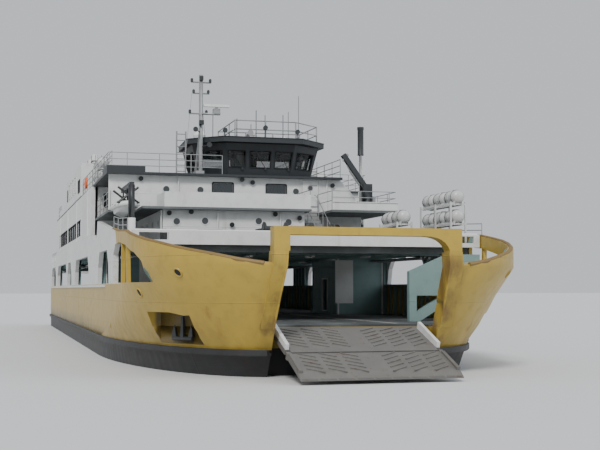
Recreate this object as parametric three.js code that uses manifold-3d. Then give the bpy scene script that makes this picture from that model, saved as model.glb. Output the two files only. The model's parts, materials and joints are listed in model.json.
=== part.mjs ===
// A passenger and vehicle ferry with a bow ramp between two flared bow wings, as a 1:2 scale model.
// Sizes and places are metres of the full-size ferry. Places are given as
// aft (behind the stem head), port (of the centreline) and up (above the waterline).
// The exported group is in millimetres: +X forward, +Y to port, +Z up, origin amidships at the waterline.
import * as THREE from 'three';
import { mergeVertices } from 'three/addons/utils/BufferGeometryUtils.js';
import Module from 'manifold-3d';

const wasm = await Module();
wasm.setup();

const MM = 500; // model millimetres for each full-size metre
const LENGTH = 70;
const HALF_BEAM = 8.5;
const SEAM = 0.0006; // gap between welded neighbours

const KEEL = -2.5;
const BOOT_TOP = 1.1;
const HULL_TOP = 1.95;
const CAR_DECK = 2.03;
const SILL = 3.75;
const PASSENGER_DECK = 5.62;
const BOAT_DECK = 7.62;
const BRIDGE_DECK = 9.6;
const WING_END = 13.65; // after end of the bow wings, forward end of the side shells
const SHELL_END = 69.3;
const PLATE = 0.12; // deck plate with its beams' flange
const SHELL = 0.24; // side shell with its frames
const WALL = 0.14; // house wall with its lining

const group = new THREE.Group();

// Colours of the finishes, with roughness and metalness.
const FINISHES = {
  yellow: [0xd2a21c, 0.55, 0.0],
  white: [0xe6e6e2, 0.5, 0.0],
  black: [0x14161a, 0.6, 0.0],
  deckGrey: [0x6d7275, 0.8, 0.0],
  paleTeal: [0x7fa0a0, 0.6, 0.0],
  darkRoof: [0x23282c, 0.6, 0.0],
  steel: [0x55595c, 0.5, 0.6],
  dark: [0x1c1f22, 0.6, 0.1],
  canister: [0xcfd3d1, 0.45, 0.0],
  bronze: [0xa8742f, 0.35, 0.9],
  glass: [0x1d2a30, 0.1, 0.0],
};

function finish(name) {
  const [color, roughness, metalness] = FINISHES[name];
  return new THREE.MeshStandardMaterial({ color, roughness, metalness });
}

// Adds one named sub-part; its geometry is already in the ship's frame unless a pivot places it.
function addPart(name, body, finishName) {
  const mesh = new THREE.Mesh(toGeometry(body), finish(finishName));
  mesh.name = name;
  group.add(mesh);
  return mesh;
}

const xOf = (aft) => (LENGTH / 2 - aft) * MM;
const place = (aft, port, up) => new THREE.Vector3(xOf(aft), port * MM, up * MM);

// Solids for joining and cutting.
function merged(geometry) {
  const bare = geometry.clone();
  bare.deleteAttribute('normal');
  bare.deleteAttribute('uv');
  return mergeVertices(bare, 0.001);
}

function toSolid(body) {
  if (body instanceof wasm.Manifold) return body;
  const closed = body.userData.closed ? body : merged(body);
  return new wasm.Manifold(new wasm.Mesh({
    numProp: 3,
    vertProperties: new Float32Array(closed.attributes.position.array),
    triVerts: new Uint32Array(closed.index.array),
  }));
}

function toGeometry(body) {
  const { vertProperties, triVerts } = toSolid(body).getMesh();
  const geometry = new THREE.BufferGeometry();
  geometry.setAttribute('position', new THREE.BufferAttribute(vertProperties, 3));
  geometry.setIndex(new THREE.BufferAttribute(triVerts, 1));
  geometry.userData.closed = true;
  return geometry;
}

const join = (...bodies) => bodies.map(toSolid).reduce((sum, body) => sum.add(body));
const cut = (body, ...tools) => tools.map(toSolid).reduce((rest, tool) => rest.subtract(tool), toSolid(body));
const common = (first, second) => toSolid(first).intersect(toSolid(second));

// The same piece on the other side of the ship.
function mirrored(body) {
  const copy = toGeometry(body).scale(1, -1, 1);
  const order = copy.index.array;
  for (let i = 0; i < order.length; i += 3) [order[i], order[i + 1]] = [order[i + 1], order[i]];
  return copy;
}

// A box between two aft, port and up limits.
function block(aft, port, up) {
  const box = new THREE.BoxGeometry(
    Math.abs(aft[1] - aft[0]) * MM, Math.abs(port[1] - port[0]) * MM, Math.abs(up[1] - up[0]) * MM,
  );
  const middle = place((aft[0] + aft[1]) / 2, (port[0] + port[1]) / 2, (up[0] + up[1]) / 2);
  return box.translate(middle.x, middle.y, middle.z);
}

const shapeOf = (points) => new THREE.Shape(points.map(([a, b]) => new THREE.Vector2(a, b)));
const extrude = (shape, depth) => new THREE.ExtrudeGeometry(shape, { depth, bevelEnabled: false });
const pastBoth = ([from, to]) => [from - 0.2, to + 0.2];

// A plate drawn from the side as [aft, up] points, between two port limits.
function sidePlate(points, port, holes = []) {
  const shape = shapeOf(points.map(([aft, up]) => [xOf(aft), up * MM]));
  const body = extrude(shape, (port[1] - port[0]) * MM);
  body.rotateX(Math.PI / 2).translate(0, port[1] * MM, 0);
  return holes.length ? cut(body, ...holes.map((hole) => sidePlate(hole, pastBoth(port)))) : body;
}

// A plate drawn from ahead as [port, up] points, between two aft limits.
function crossPlate(points, aft, holes = []) {
  const shape = shapeOf(points.map(([port, up]) => [port * MM, up * MM]));
  const turn = new THREE.Matrix4().makeBasis(
    new THREE.Vector3(0, 1, 0), new THREE.Vector3(0, 0, 1), new THREE.Vector3(1, 0, 0),
  );
  const body = extrude(shape, (aft[1] - aft[0]) * MM);
  body.applyMatrix4(turn).translate(xOf(aft[1]), 0, 0);
  return holes.length ? cut(body, ...holes.map((hole) => crossPlate(hole, pastBoth(aft)))) : body;
}

// A plate drawn from above as [aft, port] points, between two heights.
function deckPlate(points, up, holes = []) {
  const shape = shapeOf(points.map(([aft, port]) => [xOf(aft), port * MM]));
  const body = extrude(shape, (up[1] - up[0]) * MM).translate(0, 0, up[0] * MM);
  return holes.length ? cut(body, ...holes.map((hole) => deckPlate(hole, pastBoth(up)))) : body;
}

// A round bar between two places.
function bar(from, to, radius, sides = 8) {
  const run = new THREE.Vector3().subVectors(to, from);
  const body = new THREE.CylinderGeometry(radius * MM, radius * MM, run.length(), sides);
  const turn = new THREE.Quaternion().setFromUnitVectors(new THREE.Vector3(0, 1, 0), run.normalize());
  body.applyQuaternion(turn);
  const middle = new THREE.Vector3().addVectors(from, to).multiplyScalar(0.5);
  return body.translate(middle.x, middle.y, middle.z);
}

// A closed body through rings of equal length at rising heights.
function loft(given) {
  const turnsLeft = THREE.ShapeUtils.area(given[0]) > 0;
  const rings = given.map((ring) => (turnsLeft ? ring : [...ring].reverse()));
  const count = rings[0].length;
  const positions = rings.flat().flatMap((p) => [p.x, p.y, p.z]);
  const order = [];
  for (let r = 0; r + 1 < rings.length; r++) {
    for (let i = 0; i < count; i++) {
      const a = r * count + i;
      const b = r * count + (i + 1) % count;
      order.push(a, b, b + count, a, b + count, a + count);
    }
  }
  const flatten = (ring) => ring.map((p) => new THREE.Vector2(p.x, p.y));
  const capOf = (ring) => THREE.ShapeUtils.triangulateShape(flatten(ring), []);
  const last = (rings.length - 1) * count;
  capOf(rings[0]).forEach(([a, b, c]) => order.push(a, c, b));
  capOf(rings.at(-1)).forEach(([a, b, c]) => order.push(a + last, b + last, c + last));
  const geometry = new THREE.BufferGeometry();
  geometry.setAttribute('position', new THREE.Float32BufferAttribute(positions, 3));
  geometry.setIndex(order);
  return geometry;
}

// Hull form, as waterlines from the keel up.
const BLUNT_HALF = 3.0; // half width of the straight front that the bow curves start from
const BOW_STEPS = 14;
const TRANSOM_RADIUS = 0.5;
const WATERLINES = [
  // up, stem, bow run, half beam, transom
  [KEEL, 6.5, 20, 7.6, 57],
  [-1.9, 4.6, 19, 8.3, 60],
  [-0.8, 3.3, 18, HALF_BEAM, 65.5],
  [0, 2.7, 17, HALF_BEAM, 69],
  [BOOT_TOP, 2.0, 16, HALF_BEAM, 69.5],
  [HULL_TOP, 1.45, 12.15, HALF_BEAM, LENGTH],
  [3.2, 0.75, 9.6, HALF_BEAM, LENGTH],
  [4.4, 0, 7, HALF_BEAM, LENGTH],
  [7.4, 0, 7, HALF_BEAM, LENGTH],
];

function waterline(up) {
  const above = Math.max(1, WATERLINES.findIndex((row) => row[0] >= up - 1e-9));
  const [low, high] = [WATERLINES[above - 1], WATERLINES[above]];
  const share = (up - low[0]) / (high[0] - low[0]);
  const [, stem, run, half, transom] = low.map((value, i) => value + share * (high[i] - value));
  return { stem, run, half, transom };
}

// The ship's outline from above at one height, inset by a shell's thickness.
function planAt(up, inset) {
  const { stem, run, half, transom } = waterline(up);
  const side = [];
  for (let i = 0; i <= BOW_STEPS; i++) {
    const turn = (i / BOW_STEPS) * (Math.PI / 2);
    const reach = half - inset - BLUNT_HALF;
    side.push([stem + run - (run - inset) * Math.cos(turn), BLUNT_HALF + reach * Math.sin(turn)]);
  }
  for (const turn of [0, Math.PI / 4, Math.PI / 2]) {
    const aft = transom - inset - TRANSOM_RADIUS * (1 - Math.sin(turn));
    side.push([aft, half - inset - TRANSOM_RADIUS * (1 - Math.cos(turn))]);
  }
  const other = side.map(([aft, port]) => [aft, -port]).reverse();
  return [...side, ...other].map(([aft, port]) => place(aft, port, up));
}

const hullLoft = (heights, inset = 0) => loft(heights.map((up) => planAt(up, inset)));

// The recess between the bow wings that the bow ramp works in.
const RAMP_WELL = block([-1, 3.4], [-3.42, 3.42], [-1.5, 3]);

// Anchor pockets, cut into the shoulders of the bow: the middle of the mouth, its width, and its turn.
const POCKET = { aft: 5.2, port: 6.75, width: 3.1, depth: 1.1, low: 1.25, high: 2.55, turn: 59 };

function pocketBlock(grow) {
  const height = (POCKET.high - POCKET.low + 2 * grow) * MM;
  const depth = (POCKET.depth + 2 * grow) * MM;
  const body = new THREE.BoxGeometry(depth, (POCKET.width + 2 * grow) * MM, height);
  const middle = place(POCKET.aft, POCKET.port, (POCKET.low + POCKET.high) / 2);
  return body.rotateZ(THREE.MathUtils.degToRad(POCKET.turn)).translate(middle.x, middle.y, middle.z);
}

const POCKETS = [pocketBlock(0), mirrored(pocketBlock(0))];

// Lugs with bores, either side of a ramp, that its hinge pin turns in.
const HINGE_PIN = 0.06;
const PIN_SIDES = 16;
const BORE_FIT = 1.025; // bore over pin, so that the corners of a turning pin stay clear
const BOW_LUG = { near: 3.24, far: 3.38 };
const STERN_LUG = { near: 3.54, far: 3.68 };

function hingeLugs(lug, aft, up, reach, height) {
  const lugs = [-1, 1].map((side) => block(aft, [side * lug.near, side * lug.far], height));
  const bore = acrossBar(place(reach, 0, up), HINGE_PIN * BORE_FIT, 4, PIN_SIDES);
  return cut(join(...lugs), bore);
}

function addHull() {
  const underwater = hullLoft([KEEL, -1.9, -0.8, 0, BOOT_TOP - SEAM]);
  const fender = hullLoft([BOOT_TOP - 0.22, BOOT_TOP - SEAM], -0.12);
  const bossing = shaftBossing();
  addPart('hull_lower', cut(join(underwater, fender, bossing, mirrored(bossing)), RAMP_WELL), 'black');
  const topsides = cut(hullLoft([BOOT_TOP, HULL_TOP]), RAMP_WELL, ...POCKETS);
  const belt = block([WING_END + SEAM, SHELL_END], [HALF_BEAM - SHELL, HALF_BEAM], [HULL_TOP - 0.3, SILL]);
  const bowHeight = [RAMP.up - 0.22, HULL_TOP - 0.01];
  const bowLugs = hingeLugs(BOW_LUG, [RAMP.aft - 0.2, 3.5], RAMP.up, RAMP.aft, bowHeight);
  const sternReach = [STERN.aft - 0.15, STERN.aft + 0.15];
  const sternHeight = [HULL_TOP - 0.1, STERN.hinge + 0.15];
  const sternLugs = hingeLugs(STERN_LUG, sternReach, STERN.hinge, STERN.aft, sternHeight);
  addPart('hull_upper', join(topsides, belt, mirrored(belt), bowLugs, sternLugs), 'yellow');
}

// Bow wings: the flared shell from the stem to the first post of the side openings.
const BOW_GAP_HALF = 3.45; // half width of the bow opening at its foot
const STEM_POST = { width: 0.56, depth: 0.8, lean: 0.18 };
const STEM_HEAD = 4.95;
const RIM = [
  // aft, up: top edge of the bow wings and of the bulwark behind them
  [-1, 4.4], [0, 4.4], [0.6, 4.62], [1.2, 4.82], [2.1, 5.02], [3.4, 5.3],
  [5.6, 5.66], [8, 6.0], [11, 6.15], [WING_END, 6.4],
];
const FRONT_OPENING = [
  // aft, up: the curved triangular opening at the wing's after end
  [12.6, 3.78], [12.6, 5.15], [11.9, 5.6], [10.2, 5.62], [7.7, 5.4],
  [5.6, 5.0], [4.75, 4.65], [4.4, 4.2], [4.5, 3.78],
];

function bowWing() {
  const heights = [HULL_TOP + SEAM, 3.2, 4.4, 7.4];
  const inside = cut(hullLoft([HULL_TOP, 3.2, 4.4, 7.4], SHELL), pocketBlock(0.25));
  const shell = common(
    cut(hullLoft(heights), inside),
    block([-1, WING_END], [BOW_GAP_HALF, HALF_BEAM + 1], [0, 9]),
  );
  const postRing = (up) => {
    const { stem } = waterline(up);
    const near = BOW_GAP_HALF - (STEM_POST.lean * (up - HULL_TOP)) / (STEM_HEAD - HULL_TOP);
    const far = near + STEM_POST.width;
    const back = stem + STEM_POST.depth;
    const corners = [[stem, near], [stem, far], [back, far], [back, near]];
    return corners.map(([aft, port]) => place(aft + 0.02, port, up));
  };
  const stemPost = loft([HULL_TOP + SEAM, 3.2, 4.4, STEM_HEAD].map(postRing));
  const aboveRim = sidePlate([...RIM, [WING_END + 1, 6.4], [WING_END + 1, 9], [-1, 9]], [0, 9]);
  const opening = sidePlate(FRONT_OPENING, [7, 9]);
  return join(cut(shell, aboveRim, opening, pocketBlock(0)), cut(stemPost, RAMP_WELL));
}

function addBowWings() {
  const port = bowWing();
  addPart('bow_wing_port', port, 'yellow');
  addPart('bow_wing_starboard', mirrored(port), 'yellow');
}

// Transverse frames inside the bow wings.
function addWingFrames() {
  const outline = [
    [4.3, CAR_DECK + SEAM], [4.8, CAR_DECK + SEAM], [6.75, 3.2], [7.2, 3.3],
    [7.8, 4.4], [7.8, 5.1], [6.2, 5.1], [4.3, 4.3],
  ];
  const window = [[4.65, 2.45], [5.95, 3.2], [4.65, 3.2]];
  const frame = crossPlate(outline, [7.0, 7.3], [window]);
  addPart('wing_frame_port', frame, 'paleTeal');
  addPart('wing_frame_starboard', mirrored(frame), 'paleTeal');
}

// The beam over the ramp: a curved knee at its port end and a square block at its starboard end.
const PORTAL = { outer: 3.83, inner: 3.3, soffit: 5.56, top: 5.87 };
const KNEE = { foot: 5.02, pull: 0.2, reach: 1 };

function addPortal() {
  const { outer, inner, soffit, top } = PORTAL;
  const foot = STEM_HEAD + SEAM;
  const knee = new THREE.QuadraticBezierCurve(
    new THREE.Vector2(inner, KNEE.foot),
    new THREE.Vector2(inner - KNEE.pull, soffit),
    new THREE.Vector2(inner - KNEE.reach, soffit),
  ).getPoints(6).map((p) => [p.x, p.y]);
  const blockSide = -inner + 0.1;
  const outline = [
    [outer, foot], [inner, foot], ...knee, [blockSide, soffit], [blockSide, foot],
    [-outer, foot], [-outer, top], [outer, top],
  ];
  addPart('portal_beam', crossPlate(outline, [0.06, 0.66]), 'yellow');
}

// Side shells, with the row of openings along the vehicle deck.
const SIDE_OPENINGS = [
  // start, end
  [14.7, 20.7], [26.2, 37.6], [41.0, 45.6], [46.4, 58.6], [61.0, 68.0],
];
const OPENING_TOP = 5.46;
const CASING_BASE = 6.6;

function sideOpening([start, end]) {
  const top = OPENING_TOP;
  const haunch = Math.min(1.0, (end - start) / 4);
  return [
    [start, SILL + 0.02], [end, SILL + 0.02], [end - 0.25, top - 0.8], [end - haunch, top],
    [start + haunch, top], [start + 0.25, top - 0.8],
  ];
}

function addSides() {
  const arcade = [
    [WING_END + SEAM, SILL + SEAM], [SHELL_END, SILL + SEAM], [SHELL_END, 6.5], [60.2, 6.5],
    [60.2, CASING_BASE],
    [24.2, CASING_BASE], [23.8, 6.3], [21.4, 6.3], [21, 7.2], [WING_END + SEAM, 6.4],
  ];
  const across = [HALF_BEAM - SHELL, HALF_BEAM];
  const arcadePlate = sidePlate(arcade, across, SIDE_OPENINGS.map(sideOpening));
  addPart('side_shell_port', arcadePlate, 'white');
  addPart('side_shell_starboard', mirrored(arcadePlate), 'white');
}

// Stair trunks between the vehicle deck and the passenger deck, open on the ship's side.
const TRUNK = { aft: [20.9, 25.9], inner: 5.2, wall: 0.12, door: [22.6, 23.5], doorHead: 4.1 };
function addStairTrunks() {
  const { aft, inner, wall, door, doorHead } = TRUNK;
  const outer = HALF_BEAM - SHELL - SEAM;
  const up = [CAR_DECK + SEAM, PASSENGER_DECK - PLATE - SEAM];
  const room = block([aft[0] + wall, aft[1] - wall], [inner + wall, 9], [0, 9]);
  const walls = cut(block(aft, [inner, outer], up), room);
  const trunk = cut(walls, block(door, [inner - 1, inner + 1], [CAR_DECK + 0.2, doorHead]));
  addPart('stair_trunk_port', trunk, 'paleTeal');
  addPart('stair_trunk_starboard', mirrored(trunk), 'paleTeal');
}

// The outer walls of the lounge, flush with the ship's side.
const LOUNGE_WINDOW = [33, 56];
function addLoungeWalls() {
  const top = BRIDGE_DECK - PLATE;
  const outline = [[25, CASING_BASE + SEAM], [60, CASING_BASE + SEAM], [60, top], [25, top]];
  const [from, to] = LOUNGE_WINDOW;
  const window = [[from, 7.0], [to, 7.0], [to, 8.0], [from, 8.0]];
  const wall = sidePlate(outline, [HALF_BEAM - 0.22, HALF_BEAM], [window]);
  addPart('lounge_wall_port', wall, 'white');
  addPart('lounge_wall_starboard', mirrored(wall), 'white');
  const paneDepth = [HALF_BEAM - 0.12, HALF_BEAM - 0.07];
  const pane = block([from + SEAM, to - SEAM], paneDepth, [7.0 + SEAM, 8.0 - SEAM]);
  addPart('lounge_glass_port', pane, 'glass');
  addPart('lounge_glass_starboard', mirrored(pane), 'glass');
}

function addDecks() {
  const carDeck = cut(
    hullLoft([HULL_TOP + SEAM, CAR_DECK], SHELL + 0.02),
    RAMP_WELL, pocketBlock(0.27), mirrored(pocketBlock(0.27)),
    block([-1, 2.6], [-9, 9], [0, 9]), block([SHELL_END, 71], [-9, 9], [0, 9]),
  );
  addPart('car_deck', carDeck, 'deckGrey');
  const inner = HALF_BEAM - SHELL - SEAM;
  const front = 8.0;
  addPart('passenger_deck', join(
    deckPlate(
      [[front, -8.0], [9, -inner], [68.6, -inner], [68.6, inner], [9, inner], [front, 8.0]],
      [PASSENGER_DECK - PLATE, PASSENGER_DECK],
    ),
    block([front + 0.3, front + 0.6], [-7.8, 7.8], [5.15, PASSENGER_DECK - 0.05]),
  ), 'deckGrey');
  addPart('boat_deck', deckPlate([
    [14.5, -6.9], [14.5, 1.85], [17.3, 1.85], [17.3, 2.95], [14.5, 2.95], [14.5, 6.6], [21, 6.6], [25, 8.25],
    [60, 8.25], [60, -8.25], [17.5, -8.25], [17.3, -6.9],
  ], [BOAT_DECK - PLATE, BOAT_DECK]), 'deckGrey');
  addPart('bridge_deck', join(
    deckPlate([
      [17.2, -8.4], [17.2, 4.4], [25, 4.4], [25, HALF_BEAM], [60, HALF_BEAM], [60, -HALF_BEAM], [25, -8.4],
    ], [BRIDGE_DECK - PLATE + SEAM, BRIDGE_DECK]),
    block([17.2, 19.6], [-8.4, -6.4], [BRIDGE_DECK - PLATE + SEAM, BRIDGE_DECK + 0.3]),
  ), 'darkRoof');
}

function addFrontBulwark() {
  const outline = [[-8.2, 5.46], [8.2, 5.46], [8.2, 6.07], [-8.2, 6.07]];
  const gap = (sign) => [[6.6 * sign, 5.66], [7.9 * sign, 5.66], [7.9 * sign, 5.98], [6.6 * sign, 5.98]];
  const plate = crossPlate(outline, [7.86, 8 - SEAM], [gap(1), gap(-1)]);
  addPart('front_bulwark', plate, 'white');
}

// An outline given anticlockwise as [aft, port], moved inward by a wall's thickness.
function ring(points, thickness) {
  const count = points.length;
  const inward = (from, to) => {
    const length = Math.hypot(to[0] - from[0], to[1] - from[1]);
    return [(from[1] - to[1]) / length, (to[0] - from[0]) / length];
  };
  return points.map((point, i) => {
    const first = inward(points[(i + count - 1) % count], point);
    const second = inward(point, points[(i + 1) % count]);
    const reach = thickness / (1 + first[0] * second[0] + first[1] * second[1]);
    return [point[0] + reach * (first[0] + second[0]), point[1] + reach * (first[1] + second[1])];
  });
}

const LOWER_HOUSE = [
  // aft, port
  [15, 1.6], [15, -5.8], [25, -5.8], [25, -8.1], [60, -8.1],
  [60, 8.1], [25, 8.1], [25, 5.8], [18.2, 5.8], [18.2, 1.6],
];
const UPPER_HOUSE = [
  // aft, port
  [17.6, 4.3], [17.6, -6.2], [25.2, -6.2], [25.2, -8.1], [60, -8.1], [60, 8.1], [25.2, 8.1], [25.2, 4.3],
];
const DOOR = { width: 0.9, height: 1.66, thick: 0.07, step: 0.12 };

function doorHole(aft, port, deck) {
  const foot = deck + DOOR.step;
  const across = [port + 0.06, port + DOOR.width - 0.06];
  return block([aft - 0.5, aft + 0.5], across, [foot + 0.05, foot + DOOR.height - 0.05]);
}

const WHEELHOUSE_AFT = 22.4;
// Doors on athwartship walls: name, wall's outer face, port-hand edge, deck, and which way they face.
const DOORS = [
  // name, aft, port, deck, facing (+1 aft, -1 forward)
  ['lounge_door_port', 60, 3.2, PASSENGER_DECK, 1],
  ['lounge_door_starboard', 60, -4.1, PASSENGER_DECK, 1],
  ['boat_deck_door', 17.6, 2.2, BOAT_DECK, -1],
  ['wheelhouse_door', WHEELHOUSE_AFT, -0.45, BRIDGE_DECK, 1],
];

function addDoors() {
  for (const [name, aft, port, deck, facing] of DOORS) {
    const near = aft + facing * SEAM;
    const far = near + facing * DOOR.thick;
    const foot = deck + DOOR.step;
    const leaf = block([near, far], [port, port + DOOR.width], [foot, foot + DOOR.height]);
    addPart(name, leaf, 'white');
  }
}

function houseWalls(outline, up) {
  return deckPlate(outline, up, [ring(outline, WALL)]);
}

function addHouses() {
  const lower = houseWalls(LOWER_HOUSE, [PASSENGER_DECK + SEAM, BOAT_DECK - PLATE - SEAM]);
  const holes = DOORS.map(([, aft, port, deck]) => doorHole(aft, port, deck));
  const [loungePort, loungeStarboard, boatDoor] = holes;
  addPart('lower_house', cut(lower, loungePort, loungeStarboard), 'white');
  const top = BRIDGE_DECK - PLATE;
  const upper = houseWalls(UPPER_HOUSE, [BOAT_DECK + SEAM, top]);
  const foot = BOAT_DECK + SEAM;
  const screenOutline = [[-8.25, foot], [5.25, foot], [5.25, 8.55], [4.4, top], [-8.25, top]];
  const screen = crossPlate(screenOutline, [17.6, 17.6 + WALL]);
  addPart('upper_house', cut(join(upper, screen), boatDoor), 'white');
  addPart('boat_deck_bulwark', join(
    block([14.5, 14.58], [-5.8, 1.8], [BOAT_DECK + SEAM, 8.37]),
    block([14.5, 17.2], [-5.8, -5.72], [BOAT_DECK + SEAM, 8.37]),
  ), 'white');
}

// The wheelhouse leans outward; rows of its plan as [aft, port] at the base and at the roof.
const WHEELHOUSE_PLAN = [
  // aft and port at the base, aft and port at the roof
  [18.4, 1.75, 18.0, 1.92], [19.4, 3.15, 19.2, 3.6], [WHEELHOUSE_AFT, 3.15, WHEELHOUSE_AFT, 3.6],
];
const WHEELHOUSE_TOP = 11.4;
const ROOF_TOP = WHEELHOUSE_TOP + 0.27;

function wheelhouseRing(share, inset, up) {
  const side = WHEELHOUSE_PLAN.map(([aft0, port0, aft1, port1]) => (
    [aft0 + share * (aft1 - aft0), port0 + share * (port1 - port0)]
  ));
  const other = side.map(([aft, port]) => [aft, -port]);
  const outline = [...other, ...side.reverse()];
  return ring(outline, inset).map(([aft, port]) => place(aft, port, up));
}

function wheelhouseShell(outer, inner, low, high) {
  const share = (up) => (up - BRIDGE_DECK) / (WHEELHOUSE_TOP - BRIDGE_DECK);
  const between = (inset, levels) => loft(levels.map((up) => wheelhouseRing(share(up), inset, up)));
  return cut(between(outer, [low, high]), between(inner, [low - 0.2, high + 0.2]));
}

const WINDOW_BAND = [10.12, 11.0];
const WHEELHOUSE_WINDOWS = [
  // aft, port of the middle, width, turn in degrees from athwartships
  [18.2, -1.3, 0.95, 0], [18.2, 0, 1.15, 0], [18.2, 1.3, 0.95, 0],
  [18.75, 2.62, 1.35, 35.5], [18.75, -2.62, 1.35, -35.5],
  [20.2, 3.4, 1.15, 90], [21.6, 3.4, 1.15, 90], [20.2, -3.4, 1.15, 90], [21.6, -3.4, 1.15, 90],
  [WHEELHOUSE_AFT, 1.75, 2.0, 0], [WHEELHOUSE_AFT, -1.75, 2.0, 0],
];

function addWheelhouse() {
  const walls = wheelhouseShell(0, 0.14, BRIDGE_DECK + SEAM, WHEELHOUSE_TOP - SEAM);
  const windows = WHEELHOUSE_WINDOWS.map(([aft, port, width, turn]) => {
    const height = WINDOW_BAND[1] - WINDOW_BAND[0];
    const middle = place(aft, port, (WINDOW_BAND[0] + WINDOW_BAND[1]) / 2);
    const box = new THREE.BoxGeometry(0.9 * MM, width * MM, height * MM);
    return box.rotateZ(THREE.MathUtils.degToRad(turn)).translate(middle.x, middle.y, middle.z);
  });
  addPart('wheelhouse', cut(walls, ...windows, doorHole(WHEELHOUSE_AFT, -0.45, BRIDGE_DECK)), 'darkRoof');
  const glass = wheelhouseShell(0.14 + SEAM, 0.17, WINDOW_BAND[0] - 0.06, WINDOW_BAND[1] + 0.06);
  addPart('wheelhouse_glass', cut(glass, block([21.6, 23], [-0.6, 0.6], [9, 12])), 'glass');
  const roofPlan = [[17.4, -2.2], [19.1, -3.9], [22.8, -3.75], [22.8, 3.75], [19.1, 3.9], [17.4, 2.2]];
  addPart('wheelhouse_roof', deckPlate(roofPlan, [WHEELHOUSE_TOP, ROOF_TOP]), 'darkRoof');
  const console = join(
    block([18.9, 19.4], [-1.6, 1.6], [BRIDGE_DECK + SEAM, BRIDGE_DECK + 0.55]),
    block([19.3, 20.3], [-0.35, 0.35], [BRIDGE_DECK + SEAM, BRIDGE_DECK + 0.15]),
    block([19.9, 20.35], [-0.3, 0.3], [BRIDGE_DECK + 0.1, BRIDGE_DECK + 0.35]),
    block([20.25, 20.4], [-0.3, 0.3], [BRIDGE_DECK + 0.3, BRIDGE_DECK + 0.75]),
  );
  addPart('wheelhouse_console', console, 'dark');
}

// A railing of square posts and round rails along a path of [aft, port] points.
function railing(path, up, height, spacing = 1.6) {
  const pieces = [];
  const rails = [0.5, 1];
  for (let i = 0; i + 1 < path.length; i++) {
    const [from, to] = [path[i], path[i + 1]];
    const length = Math.hypot(to[0] - from[0], to[1] - from[1]);
    const steps = Math.max(1, Math.round(length / spacing));
    for (const level of rails) {
      const z = up + height * level;
      pieces.push(bar(place(from[0], from[1], z), place(to[0], to[1], z), 0.03, 6));
    }
    for (let k = i === 0 ? 0 : 1; k <= steps; k++) {
      const aft = from[0] + (to[0] - from[0]) * (k / steps);
      const port = from[1] + (to[1] - from[1]) * (k / steps);
      const post = [[aft - 0.03, aft + 0.03], [port - 0.03, port + 0.03], [up + SEAM, up + height + 0.03]];
      pieces.push(block(...post));
    }
  }
  return join(...pieces);
}

function addRailings() {
  const path = [[22.4, -1.5], [17.8, -1.5], [17.8, 1.9], [19.2, 3.5], [22.4, 3.4], [22.4, -1.5]];
  addPart('roof_rail', railing(path, ROOF_TOP, 0.95), 'steel');
}

// Mast by the wheelhouse's starboard corner, with its yards and the scanner's bracket.
const MAST = { aft: 17.95, port: -3.35, base: BRIDGE_DECK, top: 15.0 };
const SCANNER = { aft: 17.95, port: -2.5, up: 13.2 };
const LADDER = { aft: 19.2, port: -4.2, half: 0.25, top: 12.1, rungs: 7 };
function addMast() {
  const { aft, port, base, top } = MAST;
  const yards = [
    // up, half width, shift to port
    [14.6, 0.55, 0], [14.0, 0.45, 0], [12.9, 0.5, -0.15],
  ];
  const pole = bar(place(aft, port, base + SEAM), place(aft, port, top), 0.11, 10);
  const leg = bar(place(aft + 1.0, port - 0.1, base + 0.15), place(aft, port, 12.4), 0.07);
  const foot = block([aft - 0.3, aft + 1.2], [port - 0.3, port + 0.15], [base + SEAM, base + 0.2]);
  const bars = yards.map(([up, half, shift]) => bar(
    place(aft, port - half + shift, up), place(aft, port + half + shift, up), 0.04, 6,
  ));
  const shelf = [SCANNER.up - 0.32, SCANNER.up - 0.26];
  const bracket = block([aft - 0.15, aft + 0.15], [port, SCANNER.port + 0.2], shelf);
  const around = (middle, half) => [middle - half, middle + half];
  const gearbox = block(
    around(SCANNER.aft, 0.18), around(SCANNER.port, 0.18), [shelf[1] - 0.02, SCANNER.up - SEAM],
  );
  addPart('mast', join(pole, leg, foot, bracket, gearbox, ...bars), 'steel');
  const spindle = [SCANNER.up, SCANNER.up + 0.15].map((up) => place(SCANNER.aft, SCANNER.port, up));
  const scanner = join(
    block(around(SCANNER.aft, 0.09), around(SCANNER.port, 0.7), [SCANNER.up + 0.1, SCANNER.up + 0.24]),
    bar(...spindle, 0.08),
  );
  addPart('radar_scanner', scanner, 'white');
  const across = [LADDER.port - LADDER.half, LADDER.port + LADDER.half];
  const stiles = across.map((side) => bar(
    place(LADDER.aft, side, base + SEAM), place(LADDER.aft, side, LADDER.top), 0.04, 6,
  ));
  const rungs = Array.from({ length: LADDER.rungs }, (_, i) => {
    const up = base + 0.3 + i * 0.34;
    return bar(place(LADDER.aft, across[0], up), place(LADDER.aft, across[1], up), 0.025, 6);
  });
  addPart('mast_ladder', join(...stiles, ...rungs), 'steel');
}

// Funnel casings on the after part of the bridge deck.
function addCasings() {
  const foot = BRIDGE_DECK + SEAM;
  const outline = [[33, foot], [56, foot], [56, 10.1], [48.4, 10.1], [48, 11.75], [33, 11.75]];
  const pipe = (aft) => bar(place(aft, 7.4, 11.5), place(aft + 0.4, 7.4, 12.6), 0.22, 12);
  const pipes = [35.5, 38.5, 41.5].map(pipe);
  const casing = join(sidePlate(outline, [6.4, HALF_BEAM]), ...pipes);
  addPart('funnel_casing_port', casing, 'white');
  addPart('funnel_casing_starboard', mirrored(casing), 'white');
}

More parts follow.
